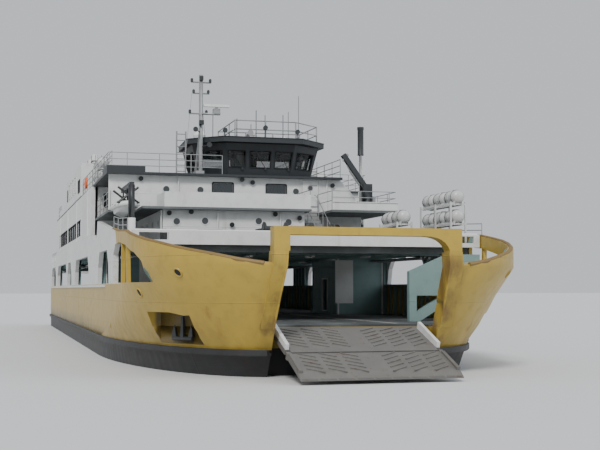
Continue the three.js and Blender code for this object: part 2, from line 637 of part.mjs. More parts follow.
function addStair() {
  const steps = 9;
  const [foot, head] = [14.3, 17.2];
  const rise = (BOAT_DECK - PASSENGER_DECK) / steps;
  const tread = (head - foot) / steps;
  const upper = [];
  for (let i = 0; i < steps; i++) {
    const up = PASSENGER_DECK + rise * (i + 1) - (i === steps - 1 ? 0.05 : 0);
    upper.push([foot + i * tread, up - rise + 0.05], [foot + i * tread, up]);
  }
  const outline = [
    [foot, PASSENGER_DECK + SEAM], ...upper.slice(1), [head, BOAT_DECK - 0.05], [head, BOAT_DECK - 0.35],
    [foot + 0.45, PASSENGER_DECK + SEAM],
  ];
  addPart('front_stair', sidePlate(outline, [1.95, 2.85]), 'steel');
}

// Crane on the port side of the boat deck.
const CRANE = { aft: 16.2, port: 5.4, slew: 8.0, luffUp: 8.95, boomLength: 2.2, lean: 54 };
function addCrane() {
  const { aft, port, slew, luffUp, boomLength, lean } = CRANE;
  const foot = place(aft, port, BOAT_DECK + SEAM);
  addPart('crane_pedestal', join(
    bar(foot, place(aft, port, slew - SEAM), 0.24, 12),
    block([aft - 0.4, aft + 0.4], [port - 0.4, port + 0.4], [BOAT_DECK + SEAM, BOAT_DECK + 0.08]),
  ), 'white');
  const cheeks = [-1, 1].map((side) => block(
    [aft + side * 0.3 - 0.05, aft + side * 0.3 + 0.05],
    [port - 0.25, port + 0.25],
    [slew + 0.4, luffUp + 0.2],
  ));
  const column = join(
    bar(place(aft, port, slew), place(aft, port, slew + 0.5), 0.36, 12),
    ...cheeks,
    bar(place(aft - 0.34, port, luffUp), place(aft + 0.34, port, luffUp), HINGE_PIN, PIN_SIDES),
  );
  addPart('crane_column', column, 'dark');
  const eye = cut(
    join(
      bar(place(aft - 0.22, port, luffUp), place(aft + 0.22, port, luffUp), 0.16, 12),
      block([aft - 0.13, aft + 0.13], [port - boomLength, port - 0.05], [luffUp - 0.13, luffUp + 0.13]),
    ),
    bar(place(aft - 0.5, port, luffUp), place(aft + 0.5, port, luffUp), HINGE_PIN * BORE_FIT, PIN_SIDES),
  );
  const pivot = place(aft, port, luffUp);
  const leaning = toGeometry(eye);
  leaning.translate(-pivot.x, -pivot.y, -pivot.z);
  leaning.rotateX(-THREE.MathUtils.degToRad(lean));
  leaning.translate(pivot.x, pivot.y, pivot.z);
  addPart('crane_boom', leaning, 'dark');
  const post = { aft: 18.4, port: 5.85 };
  const footTop = BOAT_DECK + 0.06;
  addPart('derrick_post', join(
    bar(place(post.aft, post.port, BOAT_DECK + SEAM), place(post.aft, post.port, 11.2), 0.09, 10),
    bar(place(post.aft, post.port, 11.0), place(post.aft, post.port, 12.6), 0.16, 10),
    bar(place(post.aft, post.port, 11.0), place(post.aft + 1.6, post.port + 0.35, footTop - 0.01), 0.025, 6),
    block([post.aft - 0.2, post.aft + 1.75], [post.port - 0.2, post.port + 0.5], [BOAT_DECK + SEAM, footTop]),
  ), 'white');
}

// Life raft canisters lying fore and aft, on their racks.
const CANISTER = { radius: 0.335, length: 1.3 };
function canister(aft, port, up) {
  const half = CANISTER.length / 2;
  const profile = [
    // share of the radius, place along the axis
    [0, -half], [0.6, -half], [0.92, -half + 0.12], [1, -half + 0.3],
    [1, half - 0.3], [0.92, half - 0.12], [0.6, half], [0, half],
  ];
  const points = profile.map(([share, along]) => new THREE.Vector2(share * CANISTER.radius * MM, along * MM));
  const middle = place(aft, port, up);
  return new THREE.LatheGeometry(points, 14).rotateZ(-Math.PI / 2).translate(middle.x, middle.y, middle.z);
}

function raftRack(port, base, tiers, afts) {
  const pieces = [];
  const [first, last] = [afts[0] - 0.55, afts.at(-1) + 0.55];
  for (const up of tiers) {
    afts.forEach((aft) => pieces.push(canister(aft, port, up)));
    for (const side of [-0.2, 0.2]) {
      pieces.push(block([first, last], [port + side - 0.04, port + side + 0.04], [up - 0.42, up - 0.24]));
    }
  }
  const count = Math.max(2, Math.ceil((last - first) / 2.8) + 1);
  for (let i = 0; i < count; i++) {
    const aft = first + 0.06 + (last - first - 0.12) * (i / (count - 1));
    for (const side of [-0.38, 0.38]) {
      const across = [port + side - 0.04, port + side + 0.04];
      pieces.push(block([aft - 0.04, aft + 0.04], across, [base + SEAM, tiers.at(-1) - 0.24]));
    }
    for (const up of tiers) {
      pieces.push(block([aft - 0.04, aft + 0.04], [port - 0.4, port + 0.4], [up - 0.4, up - 0.32]));
    }
  }
  return join(...pieces);
}

function addRafts() {
  addPart('raft_rack_port', raftRack(7.35, PASSENGER_DECK, [6.96, 7.9], [8.9, 10.3, 11.7]), 'canister');
  addPart('raft_rack_inner', raftRack(5.0, PASSENGER_DECK, [6.96], [9.9, 11.3]), 'canister');
  addPart('raft_rack_starboard', raftRack(-7.9, BRIDGE_DECK, [10.12, 10.87], [25.0, 26.4]), 'canister');
}

// Rescue boat under its slewing davit, to starboard.
const DAVIT = { aft: 12.75, port: -7.65, base: 6.9, arm: 8.5 };
const RESCUE = { aft: 15.3, port: -7.65, half: 1.7, beam: 0.62, low: 7.1, high: 7.8 };
function addRescueBoat() {
  const { aft, port, base, arm } = DAVIT;
  addPart('davit_pedestal', join(
    bar(place(aft, port, PASSENGER_DECK + SEAM), place(aft, port, base - SEAM), 0.2, 12),
    block(
      [aft - 0.35, aft + 0.35], [port - 0.35, port + 0.35], [PASSENGER_DECK + SEAM, PASSENGER_DECK + 0.08],
    ),
  ), 'white');
  const hooks = [RESCUE.aft - 0.9, RESCUE.aft + 0.9];
  const davit = join(
    bar(place(aft, port, base), place(aft, port, arm), 0.16, 10),
    block([aft - 0.15, hooks[1] + 0.15], [port - 0.11, port + 0.11], [arm - 0.12, arm + 0.12]),
    bar(place(aft + 0.1, port, arm - 0.7), place(aft + 0.8, port, arm - 0.05), 0.07, 8),
    ...hooks.map((at) => bar(place(at, port, RESCUE.high + SEAM), place(at, port, arm), 0.035, 6)),
  );
  addPart('rescue_davit', davit, 'dark');
  const section = (share, width, low) => {
    const x = RESCUE.aft - RESCUE.half + 2 * RESCUE.half * share;
    const chine = [width * 0.9, low + 0.25];
    return [[-width, RESCUE.high], [-chine[0], chine[1]], [0, low], chine, [width, RESCUE.high]]
      .map(([side, up]) => [x, RESCUE.port + side, up]);
  };
  const stations = [[0, 0.12, 7.45], [0.15, 0.42, 7.2], [0.4, 0.62, 7.1], [1, 0.56, 7.12]];
  const boat = stationLoft(stations.map(([share, width, low]) => section(share, width, low)));
  addPart('rescue_boat', boat, 'canister');
}

// A closed body through upright sections given as [aft, port, up], from ahead to astern.
function stationLoft(sections) {
  const rings = sections.map((points) => points.map(([aft, port, up]) => new THREE.Vector3(port, up, aft)));
  const geometry = loft(rings);
  const turn = new THREE.Matrix4().makeBasis(
    new THREE.Vector3(0, MM, 0), new THREE.Vector3(0, 0, MM), new THREE.Vector3(-MM, 0, 0),
  ).setPosition(xOf(0), 0, 0);
  geometry.applyMatrix4(turn);
  const order = geometry.index.array;
  for (let i = 0; i < order.length; i += 3) [order[i], order[i + 1]] = [order[i + 1], order[i]];
  return geometry;
}

// Bow ramp of two leaves: the outer one folds down ahead of the inner one as that rises.
const RAMP = { aft: 3.2, up: 1.82, half: 3.2, slope: 20, inner: 2.7, outer: 2.2, thick: 0.2 };

// A leaf drawn from the side as [ahead of its hinge, above its hinge], turned to the ramp's slope.
function rampLeaf(outline, start) {
  const shape = shapeOf(outline.map(([ahead, above]) => [ahead * MM, above * MM]));
  const leaf = extrude(shape, 2 * RAMP.half * MM).rotateX(Math.PI / 2).translate(0, RAMP.half * MM, 0);
  const slope = THREE.MathUtils.degToRad(RAMP.slope);
  leaf.rotateY(slope);
  const hinge = rampPoint(start);
  return leaf.translate(hinge.x, 0, hinge.z);
}

function rampPoint(along) {
  const slope = THREE.MathUtils.degToRad(RAMP.slope);
  return place(RAMP.aft - along * Math.cos(slope), 0, RAMP.up - along * Math.sin(slope));
}

function acrossBar(point, radius, half, sides = 10) {
  const [from, to] = [point.clone(), point.clone()];
  from.y = -half * MM;
  to.y = half * MM;
  return bar(from, to, radius, sides);
}

// The inner leaf's fore edge is narrower, where the outer leaf's two arms reach back to their pin.
const LEAF_ARM = { near: RAMP.half - 0.16, reach: 0.28, boss: 0.08, pin: 0.05 };

function addBowRamp() {
  const { inner, outer, thick, half } = RAMP;
  const innerPlate = rampLeaf([[0, -0.1], [inner - 0.02, 0], [inner - 0.02, thick], [0, 0.12]], 0);
  const armRoom = rampLeaf(
    [[-LEAF_ARM.reach, -0.4], [0.4, -0.4], [0.4, 0.6], [-LEAF_ARM.reach, 0.6]], inner,
  );
  const middle = block([-9, 9], [-LEAF_ARM.near + 0.04, LEAF_ARM.near - 0.04], [-2, 6]);
  addPart('bow_ramp_inner', join(
    cut(innerPlate, cut(armRoom, middle)),
    acrossBar(rampPoint(0), 0.12, half),
    acrossBar(rampPoint(0), HINGE_PIN, BOW_LUG.far, PIN_SIDES),
    acrossBar(rampPoint(inner), 0.07, LEAF_ARM.near - 0.04),
    acrossBar(rampPoint(inner), LEAF_ARM.pin, half - 0.01, PIN_SIDES),
  ), 'steel');
  const outerPlate = rampLeaf(
    [[0.1, 0], [outer, 0], [outer, 0.04], [outer - 0.5, thick - 0.02], [0.1, thick]], inner,
  );
  const { boss } = LEAF_ARM;
  const armPlate = rampLeaf([[-boss, -boss], [boss, -boss], [0.3, 0], [0.3, thick], [-boss, thick]], inner);
  const arms = cut(armPlate, block([-9, 9], [-LEAF_ARM.near, LEAF_ARM.near], [-2, 6]));
  const leafBore = acrossBar(rampPoint(inner), LEAF_ARM.pin * BORE_FIT, 4, PIN_SIDES);
  addPart('bow_ramp_outer', cut(join(outerPlate, arms), leafBore), 'steel');
}

// Transom frame around the stern ramp, which is stowed upright.
const STERN = { half: 3.7, head: 5.3, aft: 69.75, hinge: CAR_DECK + 0.1 };
function addStern() {
  const outline = [[-8.2, HULL_TOP + SEAM], [8.2, HULL_TOP + SEAM], [8.2, 5.48], [-8.2, 5.48]];
  const [sill, head] = [CAR_DECK + 0.1, 5.1];
  const doorway = [[-STERN.half, sill], [STERN.half, sill], [STERN.half, head], [-STERN.half, head]];
  const sideHole = (sign) => [[4.6 * sign, SILL], [7.6 * sign, SILL], [7.6 * sign, 5.0], [4.6 * sign, 5.0]];
  const frame = crossPlate(outline, [SHELL_END + SEAM, 69.5], [doorway, sideHole(1), sideHole(-1)]);
  addPart('stern_frame', frame, 'white');
  const hinge = place(STERN.aft, 0, STERN.hinge);
  addPart('stern_ramp', join(
    block([STERN.aft - 0.1, STERN.aft + 0.1], [-3.5, 3.5], [STERN.hinge, STERN.head]),
    acrossBar(hinge, 0.1, 3.5),
    acrossBar(hinge, HINGE_PIN, STERN_LUG.far, PIN_SIDES),
  ), 'steel');
}

// Propellers, shafts and rudders: one set each side of the centreline.
const SCREW = { aft: 65.4, port: 4.0, up: -1.68, radius: 0.72 };
const RUDDER = { stock: 66.9, top: -0.499, low: -2.42 };
function propeller() {
  const { aft, port, up, radius } = SCREW;
  const blades = Array.from({ length: 4 }, (_, i) => {
    const blade = extrude(shapeOf([
      [-0.1, 0.08], [0.1, 0.08], [0.26, 0.3], [0.24, 0.58],
      [0.08, radius], [-0.08, radius], [-0.24, 0.58], [-0.26, 0.3],
    ].map(([a, b]) => [a * MM, b * MM])), 0.05 * MM);
    blade.translate(0, 0, -0.025 * MM).rotateY(THREE.MathUtils.degToRad(62)).rotateX((i * Math.PI) / 2);
    return blade;
  });
  const hub = new THREE.CylinderGeometry(0.13 * MM, 0.16 * MM, 0.5 * MM, 12).rotateZ(Math.PI / 2);
  const centre = place(aft, port, up);
  return toGeometry(join(hub, ...blades)).translate(centre.x, centre.y, centre.z);
}

// The bossing of one propeller shaft, with its bracket.
function shaftBossing() {
  const { aft, port, up } = SCREW;
  return join(
    bar(place(60.2, port, up), place(aft - 0.25 - SEAM, port, up), 0.11, 10),
    block([64.2, 64.7], [port - 0.05, port + 0.05], [up, -0.4]),
    bar(place(64.1, port, up), place(64.8, port, up), 0.17, 10),
  );
}

function addDrive() {
  const { port } = SCREW;
  const screw = propeller();
  addPart('propeller_port', screw, 'bronze');
  addPart('propeller_starboard', mirrored(screw), 'bronze');
  const side = [[66.45, 0.04], [66.9, 0.1], [67.9, 0.02]];
  const outline = [
    ...side.map(([aft, half]) => [aft, port - half]),
    ...side.reverse().map(([aft, half]) => [aft, port + half]),
  ];
  const blade = deckPlate(outline, [RUDDER.low, -0.7]);
  const stock = bar(place(RUDDER.stock, port, -1.2), place(RUDDER.stock, port, RUDDER.top), 0.08, 10);
  const rudder = join(blade, stock);
  addPart('rudder_port', rudder, 'black');
  addPart('rudder_starboard', mirrored(rudder), 'black');
}

function addAnchors() {
  const turn = THREE.MathUtils.degToRad(POCKET.turn);
  const parts = [
    new THREE.BoxGeometry(0.16 * MM, 0.2 * MM, 1.0 * MM).translate(0, 0, 0.1 * MM),
    new THREE.BoxGeometry(0.2 * MM, 1.3 * MM, 0.22 * MM).translate(0, 0, -0.45 * MM),
    new THREE.BoxGeometry(0.14 * MM, 0.22 * MM, 0.62 * MM).translate(0, 0.54 * MM, -0.2 * MM),
    new THREE.BoxGeometry(0.14 * MM, 0.22 * MM, 0.62 * MM).translate(0, -0.54 * MM, -0.2 * MM),
  ];
  const middle = place(POCKET.aft, POCKET.port, 1.9);
  const inward = -POCKET.depth / 2 + 0.1;
  const anchor = toGeometry(join(...parts)).translate((inward + SEAM) * MM, 0, 0);
  anchor.rotateZ(turn).translate(middle.x, middle.y, middle.z);
  addPart('anchor_port', anchor, 'dark');
  addPart('anchor_starboard', mirrored(anchor), 'dark');
}

// Double-drum mooring winch on the centreline of the foredeck.
function addWinch() {
  const aft = 10.4;
  const deck = PASSENGER_DECK;
  const axle = deck + 0.6;
  const drums = [-1, 1].flatMap((side) => [
    bar(place(aft, side * 0.6, axle), place(aft, side * 1.7, axle), 0.26, 14),
    ...[0.6, 1.65].map((port) => (
      bar(place(aft, side * port, axle), place(aft, side * (port + 0.07), axle), 0.45, 14)
    )),
    block([aft - 0.25, aft + 0.25], [side * 1.85, side * 1.97], [deck + 0.1, axle + 0.12]),
  ]);
  const winch = join(
    block([aft - 0.6, aft + 0.6], [-2.2, 2.2], [deck + SEAM, deck + 0.12]),
    bar(place(aft, -2.1, axle), place(aft, 2.1, axle), 0.1, 10),
    block([aft - 0.35, aft + 0.35], [-0.45, 0.45], [deck + 0.1, axle + 0.25]),
    ...drums,
  );
  addPart('mooring_winch', winch, 'dark');
}

addHull();
addDecks();
addBowWings();
addWingFrames();
addPortal();
addSides();
addStairTrunks();
addLoungeWalls();
addFrontBulwark();
addHouses();
addDoors();
addWheelhouse();
addRailings();
addMast();
addCasings();
addStair();
addCrane();
addRafts();
addRescueBoat();
addBowRamp();
addStern();
addDrive();
addAnchors();
addWinch();

export default group;
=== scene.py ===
"""Dresses a 1:2 scale passenger and vehicle ferry: paint, glazing, rails and deck fittings.

Sizes and places in this file are metres of the full-size ship, given as aft (behind the stem head),
port (of the centreline) and up (above the waterline); at() turns them into the model's frame.
"""

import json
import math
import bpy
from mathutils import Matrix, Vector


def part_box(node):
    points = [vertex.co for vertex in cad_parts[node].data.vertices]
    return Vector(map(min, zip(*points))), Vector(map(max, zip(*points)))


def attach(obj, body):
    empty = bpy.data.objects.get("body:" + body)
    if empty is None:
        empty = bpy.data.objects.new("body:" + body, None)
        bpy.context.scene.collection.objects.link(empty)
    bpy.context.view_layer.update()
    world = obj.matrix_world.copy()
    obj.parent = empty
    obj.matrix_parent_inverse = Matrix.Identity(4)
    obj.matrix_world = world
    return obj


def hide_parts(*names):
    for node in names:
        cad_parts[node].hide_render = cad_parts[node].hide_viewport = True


bl_info = {
    "name": "Vehicle Ferry",
    "version": (1, 0, 0),
    "blender": (4, 5, 0),
    "location": "3D View > Sidebar > Ferry",
    "description": "Paint, glazing, rails and deck fittings for a scale model of a vehicle ferry",
    "category": "Add Mesh",
}

import bmesh
import bpy
from bpy.props import FloatProperty, FloatVectorProperty, IntProperty, PointerProperty
from mathutils import Euler, Matrix, Vector

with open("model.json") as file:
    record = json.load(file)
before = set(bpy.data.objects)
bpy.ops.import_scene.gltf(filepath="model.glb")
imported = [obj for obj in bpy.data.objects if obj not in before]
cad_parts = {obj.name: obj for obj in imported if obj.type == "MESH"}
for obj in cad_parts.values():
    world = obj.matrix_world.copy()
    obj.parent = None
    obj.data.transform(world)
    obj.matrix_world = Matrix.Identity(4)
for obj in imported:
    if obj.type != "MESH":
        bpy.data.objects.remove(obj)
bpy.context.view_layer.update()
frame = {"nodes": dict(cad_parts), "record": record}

SCALE = 0.5  # model metres for each metre of the ship
MIDSHIPS = 35.0

CAR_DECK = 2.03
SILL = 3.75  # lower edge of the arcades
PASSENGER_DECK = 5.62
BOAT_DECK = 7.62
BRIDGE_DECK = 9.6
WHEELHOUSE_ROOF = 11.67
SHELL = 8.5  # half width between the ship's sides
LOWER_FRONT = 15.0  # forward face of the lower house
UPPER_FRONT = 17.6  # forward face of the upper house
HOUSE_BACK = 60.0
POCKET = (5.2, 6.75, 1.9)  # middle of the anchor pocket's mouth
POCKET_TURN = math.radians(59)  # how far the pocket faces away from dead ahead
LANE = 2.75  # width of a vehicle lane
PLATE_HEIGHT = 1.85  # of the shell plates
FRAME_SPACING = 0.6

UPRIGHT = (0, 0, 1)  # directions in the model's frame
AHEAD = (1, 0, 0)


def at(aft, port, up):
    """A place of the ship in the model's frame."""
    return Vector(((MIDSHIPS - aft) * SCALE, port * SCALE, up * SCALE))


# Settings.


def colour(name, description, value):
    return FloatVectorProperty(
        name=name, description=description, default=value, subtype="COLOR", size=3, min=0, max=1
    )


def length(name, description, value):
    return FloatProperty(
        name=name, description=description, default=value, unit="LENGTH", min=0.001, max=20
    )


class FerryPaints(bpy.types.PropertyGroup):
    """Colours of the ship's paints."""

    hull: colour("Hull", "Ochre yellow of the topsides and bow wings", (0.44, 0.3, 0.04))
    superstructure: colour("Superstructure", "White of the houses and arcades", (0.68, 0.69, 0.68))
    bottom: colour("Bottom", "Black of the boot-top and underwater hull", (0.018, 0.019, 0.021))
    deck: colour("Decks", "Grey of the walking and vehicle decks", (0.12, 0.135, 0.14))
    inner: colour("Car deck walls", "Pale teal inside the vehicle space", (0.2, 0.31, 0.31))
    roof: colour("Roofs", "Dark paint of the roofs and wheelhouse", (0.022, 0.027, 0.032))
    rust: colour("Rust", "Streaks that run down from seams and fittings", (0.16, 0.055, 0.018))
    lifebuoy: colour("Lifebuoys", "Orange of the life rings", (0.72, 0.12, 0.02))


class FerrySizes(bpy.types.PropertyGroup):
    """Sizes of the repeated fittings, in metres of the ship."""

    rail_height: length("Rail height", "Top rail above the deck", 1.0)
    rail_radius: length("Rail radius", "Radius of the rails", 0.022)
    post_spacing: length("Post spacing", "Distance between rail posts", 1.5)
    bar_step: length("Ramp bar step", "Distance between the ramp's anti-slip bars", 0.34)
    beam_step: length("Beam step", "Distance between deck beams over the vehicles", 2.4)
    seam_step: length("Plate length", "Length of a shell plate between its seams", 6.0)
    louvre_count: IntProperty(
        name="Louvres", description="Slats in each casing louvre", default=9, min=2, max=40
    )


class FerryStage(bpy.types.PropertyGroup):
    """The floor, lights and camera."""

    floor: colour("Floor", "Pale studio floor", (0.62, 0.63, 0.64))
    lens: FloatProperty(
        name="Lens", description="Focal length of the camera", default=66.0, unit="CAMERA", min=20, max=300
    )
    key: FloatProperty(
        name="Key light", description="Strength of the main light", default=2.6, min=0, max=20
    )
    sky: FloatProperty(
        name="Room light", description="Strength of the even light", default=0.75, min=0, max=5
    )


# Shader maths.


class Field:
    """A socket in a material, so that masks are written as sums and products."""

    def __init__(self, finish, socket):
        self.finish = finish
        self.socket = socket

    def math(self, operation, *values):
        return self.finish.node("ShaderNodeMath", {"operation": operation}, dict(enumerate(values)))

    def __add__(self, other):
        return self.math("ADD", self, other)

    def __sub__(self, other):
        return self.math("SUBTRACT", self, other)

    def __mul__(self, other):
        return self.math("MULTIPLY", self, other)

    def __truediv__(self, other):
        return self.math("DIVIDE", self, other)

    __radd__ = __add__
    __rmul__ = __mul__

    def __rsub__(self, other):
        return self.math("SUBTRACT", other, self)

    def __abs__(self):
        return self.math("ABSOLUTE", self)

    def edges(self, step, shift=0.0):
        """0.5 at every edge and 0 midway to the next; the edges are step apart."""
        return abs(self.math("FRACT", self / step + shift) - 0.5)

    def ramp(self, low, high):
        """0 below low, 1 above high and smooth between; low may be the larger."""
        return self.finish.node(
            "ShaderNodeMapRange", {"interpolation_type": "SMOOTHSTEP"},
            {"Value": self, "From Min": low, "From Max": high, "To Min": 0.0, "To Max": 1.0},
        )


class Finish:
    """A procedural material on Object coordinates, in metres of the ship."""

    def __init__(self, name, roughness=0.5, metallic=0.0, **constants):
        self.material = bpy.data.materials.new(name)
        self.material.use_nodes = True
        self.tree = self.material.node_tree
        self.tree.nodes.clear()
        self.surface = self.tree.nodes.new("ShaderNodeBsdfPrincipled")
        output = self.tree.nodes.new("ShaderNodeOutputMaterial")
        self.tree.links.new(self.surface.outputs[0], output.inputs[0])
        self.set("Roughness", roughness)
        self.set("Metallic", metallic)
        for key, value in constants.items():
            self.set(key.replace("_", " ").title().replace("Ior", "IOR"), value)
        place = self.tree.nodes.new("ShaderNodeTexCoord")
        self.place = Field(self, place.outputs["Object"])

    def set(self, name, value):
        self.plug(self.surface.inputs[name], value)

    def plug(self, socket, value):
        """Links a field to a socket, or gives the socket a plain value; a colour gets its alpha."""
        if isinstance(value, Field):
            self.tree.links.new(value.socket, socket)
        elif hasattr(socket.default_value, "__len__") and len(socket.default_value) == 4 and len(value) == 3:
            socket.default_value = (*value, 1.0)
        else:
            socket.default_value = value

    def node(self, kind, settings, values):
        made = self.tree.nodes.new(kind)
        for key, value in settings.items():
            setattr(made, key, value)
        for key, value in values.items():
            self.plug(made.inputs[key], value)
        return Field(self, made.outputs[0])

    def axes(self):
        """How far aft, to port and up a point is, in metres of the ship."""
        split = self.tree.nodes.new("ShaderNodeSeparateXYZ")
        self.tree.links.new(self.place.socket, split.inputs[0])
        x, y, z = (Field(self, split.outputs[i]) for i in range(3))
        return MIDSHIPS - x / SCALE, y / SCALE, z / SCALE

    def noise(self, size, detail, stretch=(1, 1, 1), rough=0.55):
        """Cloudy pattern from 0 to 1 whose blotches are about size metres of the ship across."""
        scale = tuple(s / (size * SCALE) for s in stretch)
        placed = {"Vector": self.place, "Scale": scale}
        moved = self.node("ShaderNodeMapping", {"vector_type": "POINT"}, placed)
        cloud = {"Vector": moved, "Scale": 1.0, "Detail": detail, "Roughness": rough}
        return self.node("ShaderNodeTexNoise", {}, cloud)

    def mix(self, mask, first, second):
        """The first colour where the mask is 0 and the second where it is 1."""
        mixed = self.tree.nodes.new("ShaderNodeMix")
        mixed.data_type = "RGBA"
        self.plug(mixed.inputs[0], mask)
        self.plug(mixed.inputs[6], first)
        self.plug(mixed.inputs[7], second)
        return Field(self, mixed.outputs[2])

    def bump(self, height, distance, strength):
        values = {"Height": height, "Distance": distance * SCALE, "Strength": strength}
        self.set("Normal", self.node("ShaderNodeBump", {}, values))


def tint(rgb, factor):
    return tuple(min(1.0, c * factor) for c in rgb)


def weathered(name, rgb, rust, rust_amount, roughness=0.42, plates=True, marks=()):
    """Ship's paint: cloudy fading, seams between plates, rust streaks and grime near the water."""
    paint = Finish(name, coat_weight=0.12, coat_roughness=0.3)
    aft, port, up = paint.axes()
    cloud = paint.noise(5.0, 4)
    fine = paint.noise(0.5, 5)
    base = paint.mix(cloud, tint(rgb, 0.8), tint(rgb, 1.12))
    for mark in marks:
        base = mark(paint, aft, port, up, base)
    base = paint.mix(fine.ramp(0.45, 0.75) * 0.35, base, tint(rgb, 0.62))
    streak = paint.noise(0.55, 4, stretch=(1, 1, 0.09)).ramp(0.56, 0.74)
    patch = paint.noise(3.2, 2).ramp(0.46, 0.66)
    rusty = streak * patch * rust_amount
    base = paint.mix(rusty, base, rust)
    grime = up.ramp(2.6, 0.9) * paint.noise(1.4, 4, stretch=(1, 1, 0.4)).ramp(0.3, 0.7) * 0.5
    base = paint.mix(grime, base, tint(rgb, 0.3))
    paint.set("Base Color", base)
    paint.set("Roughness", rusty * 0.35 + fine * 0.22 + (roughness - 0.1))
    height = fine * 0.12
    if plates:
        butt = aft.edges(bpy.context.scene.ferry_sizes.seam_step, 0.17).ramp(0.4925, 0.4985)
        level = up.edges(PLATE_HEIGHT, 0.4)
        quilt = aft.edges(FRAME_SPACING).ramp(0.0, 0.5) * level.ramp(0.5, 0.2) * paint.noise(2.4, 2)
        height = height + butt * 0.6 + level.ramp(0.488, 0.498) * 0.6 + quilt * 0.9
    paint.bump(height, 0.035, 0.6)
    return paint.material


def pocket_shade(paint, aft, port, up, base):
    """Painted shade inside the anchor pockets: darker the deeper a point lies in the recess."""
    ahead = POCKET[0] - aft
    out = abs(port) - POCKET[1]
    depth = ahead * math.cos(POCKET_TURN) + out * math.sin(POCKET_TURN)
    across = abs(out * math.cos(POCKET_TURN) - ahead * math.sin(POCKET_TURN))
    mask = depth.ramp(-0.12, -0.4) * across.ramp(1.66, 1.56) * up.ramp(1.2, 1.26) * up.ramp(2.62, 2.54)
    # Painted shade: the recess is mixed towards near-black.
    return paint.mix(mask * 0.8, base, (0.035, 0.028, 0.018))


def stem_stains(paint, aft, port, up, base):
    """Brown streaks where the ramp's wires and fenders rub on the stems."""
    near = abs(port).ramp(4.4, 3.5) * aft.ramp(3.4, 2.4) * up.ramp(0.9, 1.5) * up.ramp(5.1, 4.5)
    streaks = paint.noise(0.6, 5, stretch=(1, 1, 0.2)).ramp(0.4, 0.62)
    return paint.mix(near * streaks * 0.7, base, (0.12, 0.06, 0.022))


def hull_split(paint, aft, port, up, base):
    """White above the sill where the bow wing meets the arcades, yellow forward of it."""
    white = tuple(bpy.context.scene.ferry_paints.superstructure)
    mask = (aft - (up - SILL) * 0.9).ramp(9.6, 9.68) * up.ramp(SILL - 0.02, SILL + 0.02)
    return paint.mix(mask, base, white)


def deck_paint(name, rgb, lanes=False):
    """Worn, gritty paint to walk or drive on; lanes adds faded lines and tyre tracks."""
    paint = Finish(name, roughness=0.8)
    aft, port, _ = paint.axes()
    grit = paint.noise(0.05, 2, rough=0.8)
    wear = paint.noise(2.6, 5).ramp(0.42, 0.72)
    base = paint.mix(wear, tint(rgb, 0.75), tint(rgb, 1.45))
    base = paint.mix(paint.noise(0.4, 5).ramp(0.62, 0.8) * 0.5, base, (0.11, 0.06, 0.035))
    if lanes:
        line = abs(abs(port) - LANE).ramp(0.09, 0.06) * aft.ramp(4.5, 4.6)
        line = line * paint.noise(0.7, 4).ramp(0.3, 0.45)
        tyre = port.edges(LANE, 0.5).ramp(0.12, 0.3)
        base = paint.mix(tyre * 0.45, base, tint(rgb, 0.35))
        base = paint.mix(line * 0.85, base, (0.6, 0.6, 0.55))
    paint.set("Base Color", base)
    paint.set("Roughness", wear * 0.15 + 0.68)
    paint.bump(grit + wear * 0.2, 0.006, 0.5)
    return paint.material


def plain_paint(name, rgb, roughness=0.45, metallic=0.0, wear=0.25, grain=0.15, worn=(0.12, 0.1, 0.085)):
    """Paint or metal on small fittings, with cloudy wear and a fine grain."""
    paint = Finish(name, roughness=roughness, metallic=metallic)
    cloud = paint.noise(0.7, 5)
    fine = paint.noise(grain, 3)
    base = paint.mix(cloud, tint(rgb, 0.78), tint(rgb, 1.18))
    base = paint.mix(paint.noise(0.3, 6).ramp(0.6, 0.78) * wear, base, worn)
    paint.set("Base Color", base)
    paint.set("Roughness", cloud * 0.24 + (roughness - 0.12))
    paint.bump(fine, 0.01, 0.25)
    return paint.material


def window_glass(name, rgb, alpha):
    """Glass with faint smears; alpha is how much of what lies behind it hides."""
    glass = Finish(name, roughness=0.04, specular_ior_level=0.7, coat_weight=0.6, coat_roughness=0.02)
    smear = glass.noise(0.8, 4, stretch=(1, 1, 0.3))
    glass.set("Base Color", glass.mix(smear, tint(rgb, 0.7), tint(rgb, 1.3)))
    glass.set("Roughness", smear * 0.12 + 0.02)
    glass.set("Alpha", smear * 0.12 + alpha)
    glass.material.surface_render_method = "BLENDED"
    return glass.material


def lamp_glow(name, rgb):
    """Ribbed lens of a deck lamp."""
    lens = Finish(name, roughness=0.18, coat_weight=0.5)
    ribs = lens.axes()[2].edges(1 / 22)
    lens.set("Base Color", lens.mix(ribs, tint(rgb, 0.7), rgb))
    lens.bump(ribs, 0.01, 0.5)
    return lens.material


PAINTS = {}


